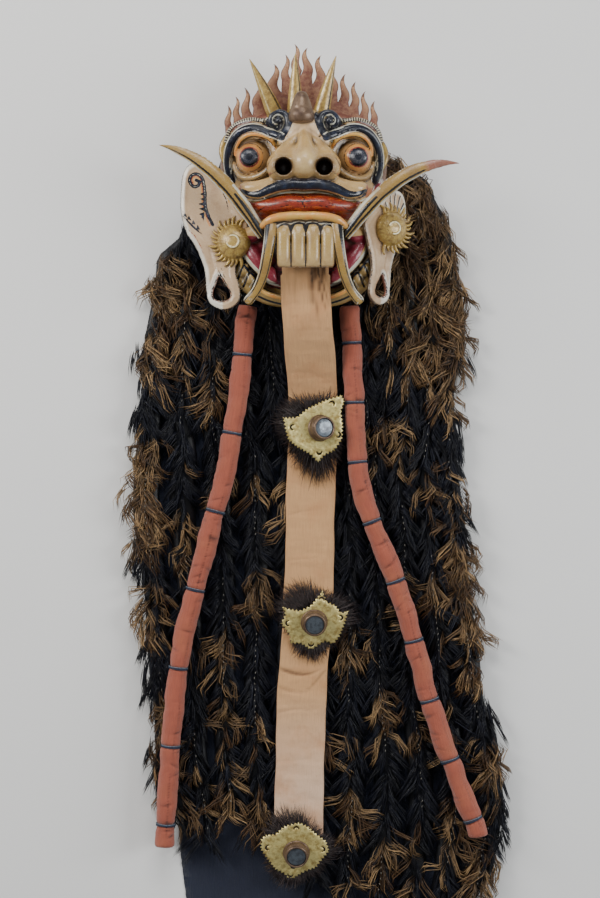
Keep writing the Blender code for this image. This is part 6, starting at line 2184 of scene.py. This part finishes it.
def backing(surface):
    """The dark cloth that the hair is sewn to, with a frayed and puckered edge."""
    inset = 0.014
    y = np.linspace(CAPE_HEAD - inset, CAPE_FOOT, 60)
    right = np.column_stack([along(RIGHT_EDGE, y) - inset, y])
    left = np.column_stack([inset - along(LEFT_EDGE, y), y])[::-1]
    outline = straight_loop(np.vstack([right[::-1], left[::-1]]) / UNIT, 4.0)
    draw = np.random.default_rng(7)
    outline = outline + draw.normal(0, 0.35, outline.shape)
    thickness = BACKING_TOP / UNIT * 0.62  # leaves room for the puckers above

    def pucker(x, y, inside):
        return 0.45 * waves(np.column_stack([x, y]), 0.02, 12) - 0.45

    place = Matrix.Translation((0, 0, thickness * UNIT / 2 + 0.0002))
    obj, verts, _, _ = cut_sheet("backing_cloth_piece", [outline], 13.0, thickness, place,
                                 surface, "cloth_backing", pucker, 1.0)
    x, y = (outline * UNIT).T
    store(obj, "across", verts[:, 0] * UNIT)
    store(obj, "along", verts[:, 1] * UNIT)
    store(obj, "fold", np.zeros(len(verts)))


CAMERA_PLACE = (-0.005, -0.380, 2.89)


def place_camera():
    """The camera looks straight down on the mask, as the photograph looks at it hanging."""
    data = bpy.data.cameras.new("camera")
    data.lens = 85
    data.sensor_width = 36
    camera = bpy.data.objects.new("camera", data)
    camera.location = CAMERA_PLACE
    bpy.context.scene.collection.objects.link(camera)
    bpy.context.scene.camera = camera


def area_light(name, place, aim, size, power, colour=(1, 1, 1)):
    """A soft rectangular light at a place, turned to its aim."""
    data = bpy.data.lights.new(name, "AREA")
    data.shape = "RECTANGLE"
    data.size, data.size_y = size
    data.energy = power
    data.color = colour
    light = bpy.data.objects.new(name, data)
    light.location = place
    light.rotation_euler = (Vector(aim) - Vector(place)).to_track_quat("-Z", "Y").to_euler()
    bpy.context.scene.collection.objects.link(light)


def studio():
    """A plain pale floor and soft lights from both sides and from above."""
    bpy.ops.mesh.primitive_plane_add(size=60, location=(0, -0.4, -0.0008))
    floor = bpy.context.active_object
    floor.name = "floor"
    floor.data.materials.append(floor_surface())
    sky = bpy.data.worlds.new("studio")
    sky.use_nodes = True
    background = sky.node_tree.nodes["Background"].inputs
    background["Color"].default_value = (0.93, 0.96, 1.0, 1.0)
    background["Strength"].default_value = 0.30
    bpy.context.scene.world = sky
    aim = (0, -0.35, 0)
    area_light("left_softbox", (-2.2, 0.7, 1.8), aim, (0.9, 1.8), 74, (1.0, 0.99, 0.97))
    area_light("right_softbox", (2.3, -0.1, 1.6), aim, (0.8, 1.8), 52, (0.95, 0.98, 1.0))
    area_light("top_softbox", (0.1, 1.9, 2.3), aim, (1.6, 1.0), 40)


def main():
    """Sets up the camera and the studio, and makes every piece of the mask."""
    place_camera()
    studio()
    paint = painted()
    gilt = gilded()
    face(paint)
    for side, rise, bend in ((-1, 56, 46), (1, 51, 58)):
        tusk(side, rise, bend, paint)
        fang(side, paint)
        ear(side, paint)
        boss(side, gilt)
        temple_leaf(side, gilt)
    horns(gilt)
    bronze = metal("aged_bronze", tone(0.45, 0.36, 0.28), tone(0.32, 0.24, 0.19), 60.0, 0.33, 0.50,
                   0.4)
    knob(bronze)
    crest(crest_leather())
    tongue_cloth = woven("tongue_canvas", tone(0.82, 0.63, 0.43), tone(0.66, 0.47, 0.31),
                         tone(0.75, 0.51, 0.32), 900)
    tongue(tongue_cloth)
    tube_cloth = woven("tube_canvas", tone(0.66, 0.34, 0.25), tone(0.46, 0.20, 0.14),
                       tone(0.68, 0.39, 0.26), 900)
    thread = thread_surface()
    for side in (-1, 1):
        stuffed_tube(side, tube_cloth)
        ties(side, thread)
    brass = metal("pale_brass", tone(0.82, 0.76, 0.50), tone(0.62, 0.53, 0.30), 150.0, 0.32, 0.52,
                  0.45)
    hair = hair_surface()
    medallions(brass, bronze, mirror_glass(), hair)
    for side in (-1, 1):
        for n in range(LOCKS[side]):
            order = n if side < 0 else LOCKS[-1] + n
            k = n if side > 0 else LOCKS[side] - 1 - n
            hair_lock(side, k, order, hair)
    navy = woven("backing_cotton", tone(0.05, 0.09, 0.19), tone(0.03, 0.05, 0.10),
                 tone(0.07, 0.11, 0.20), 1100)
    backing(navy)


main()
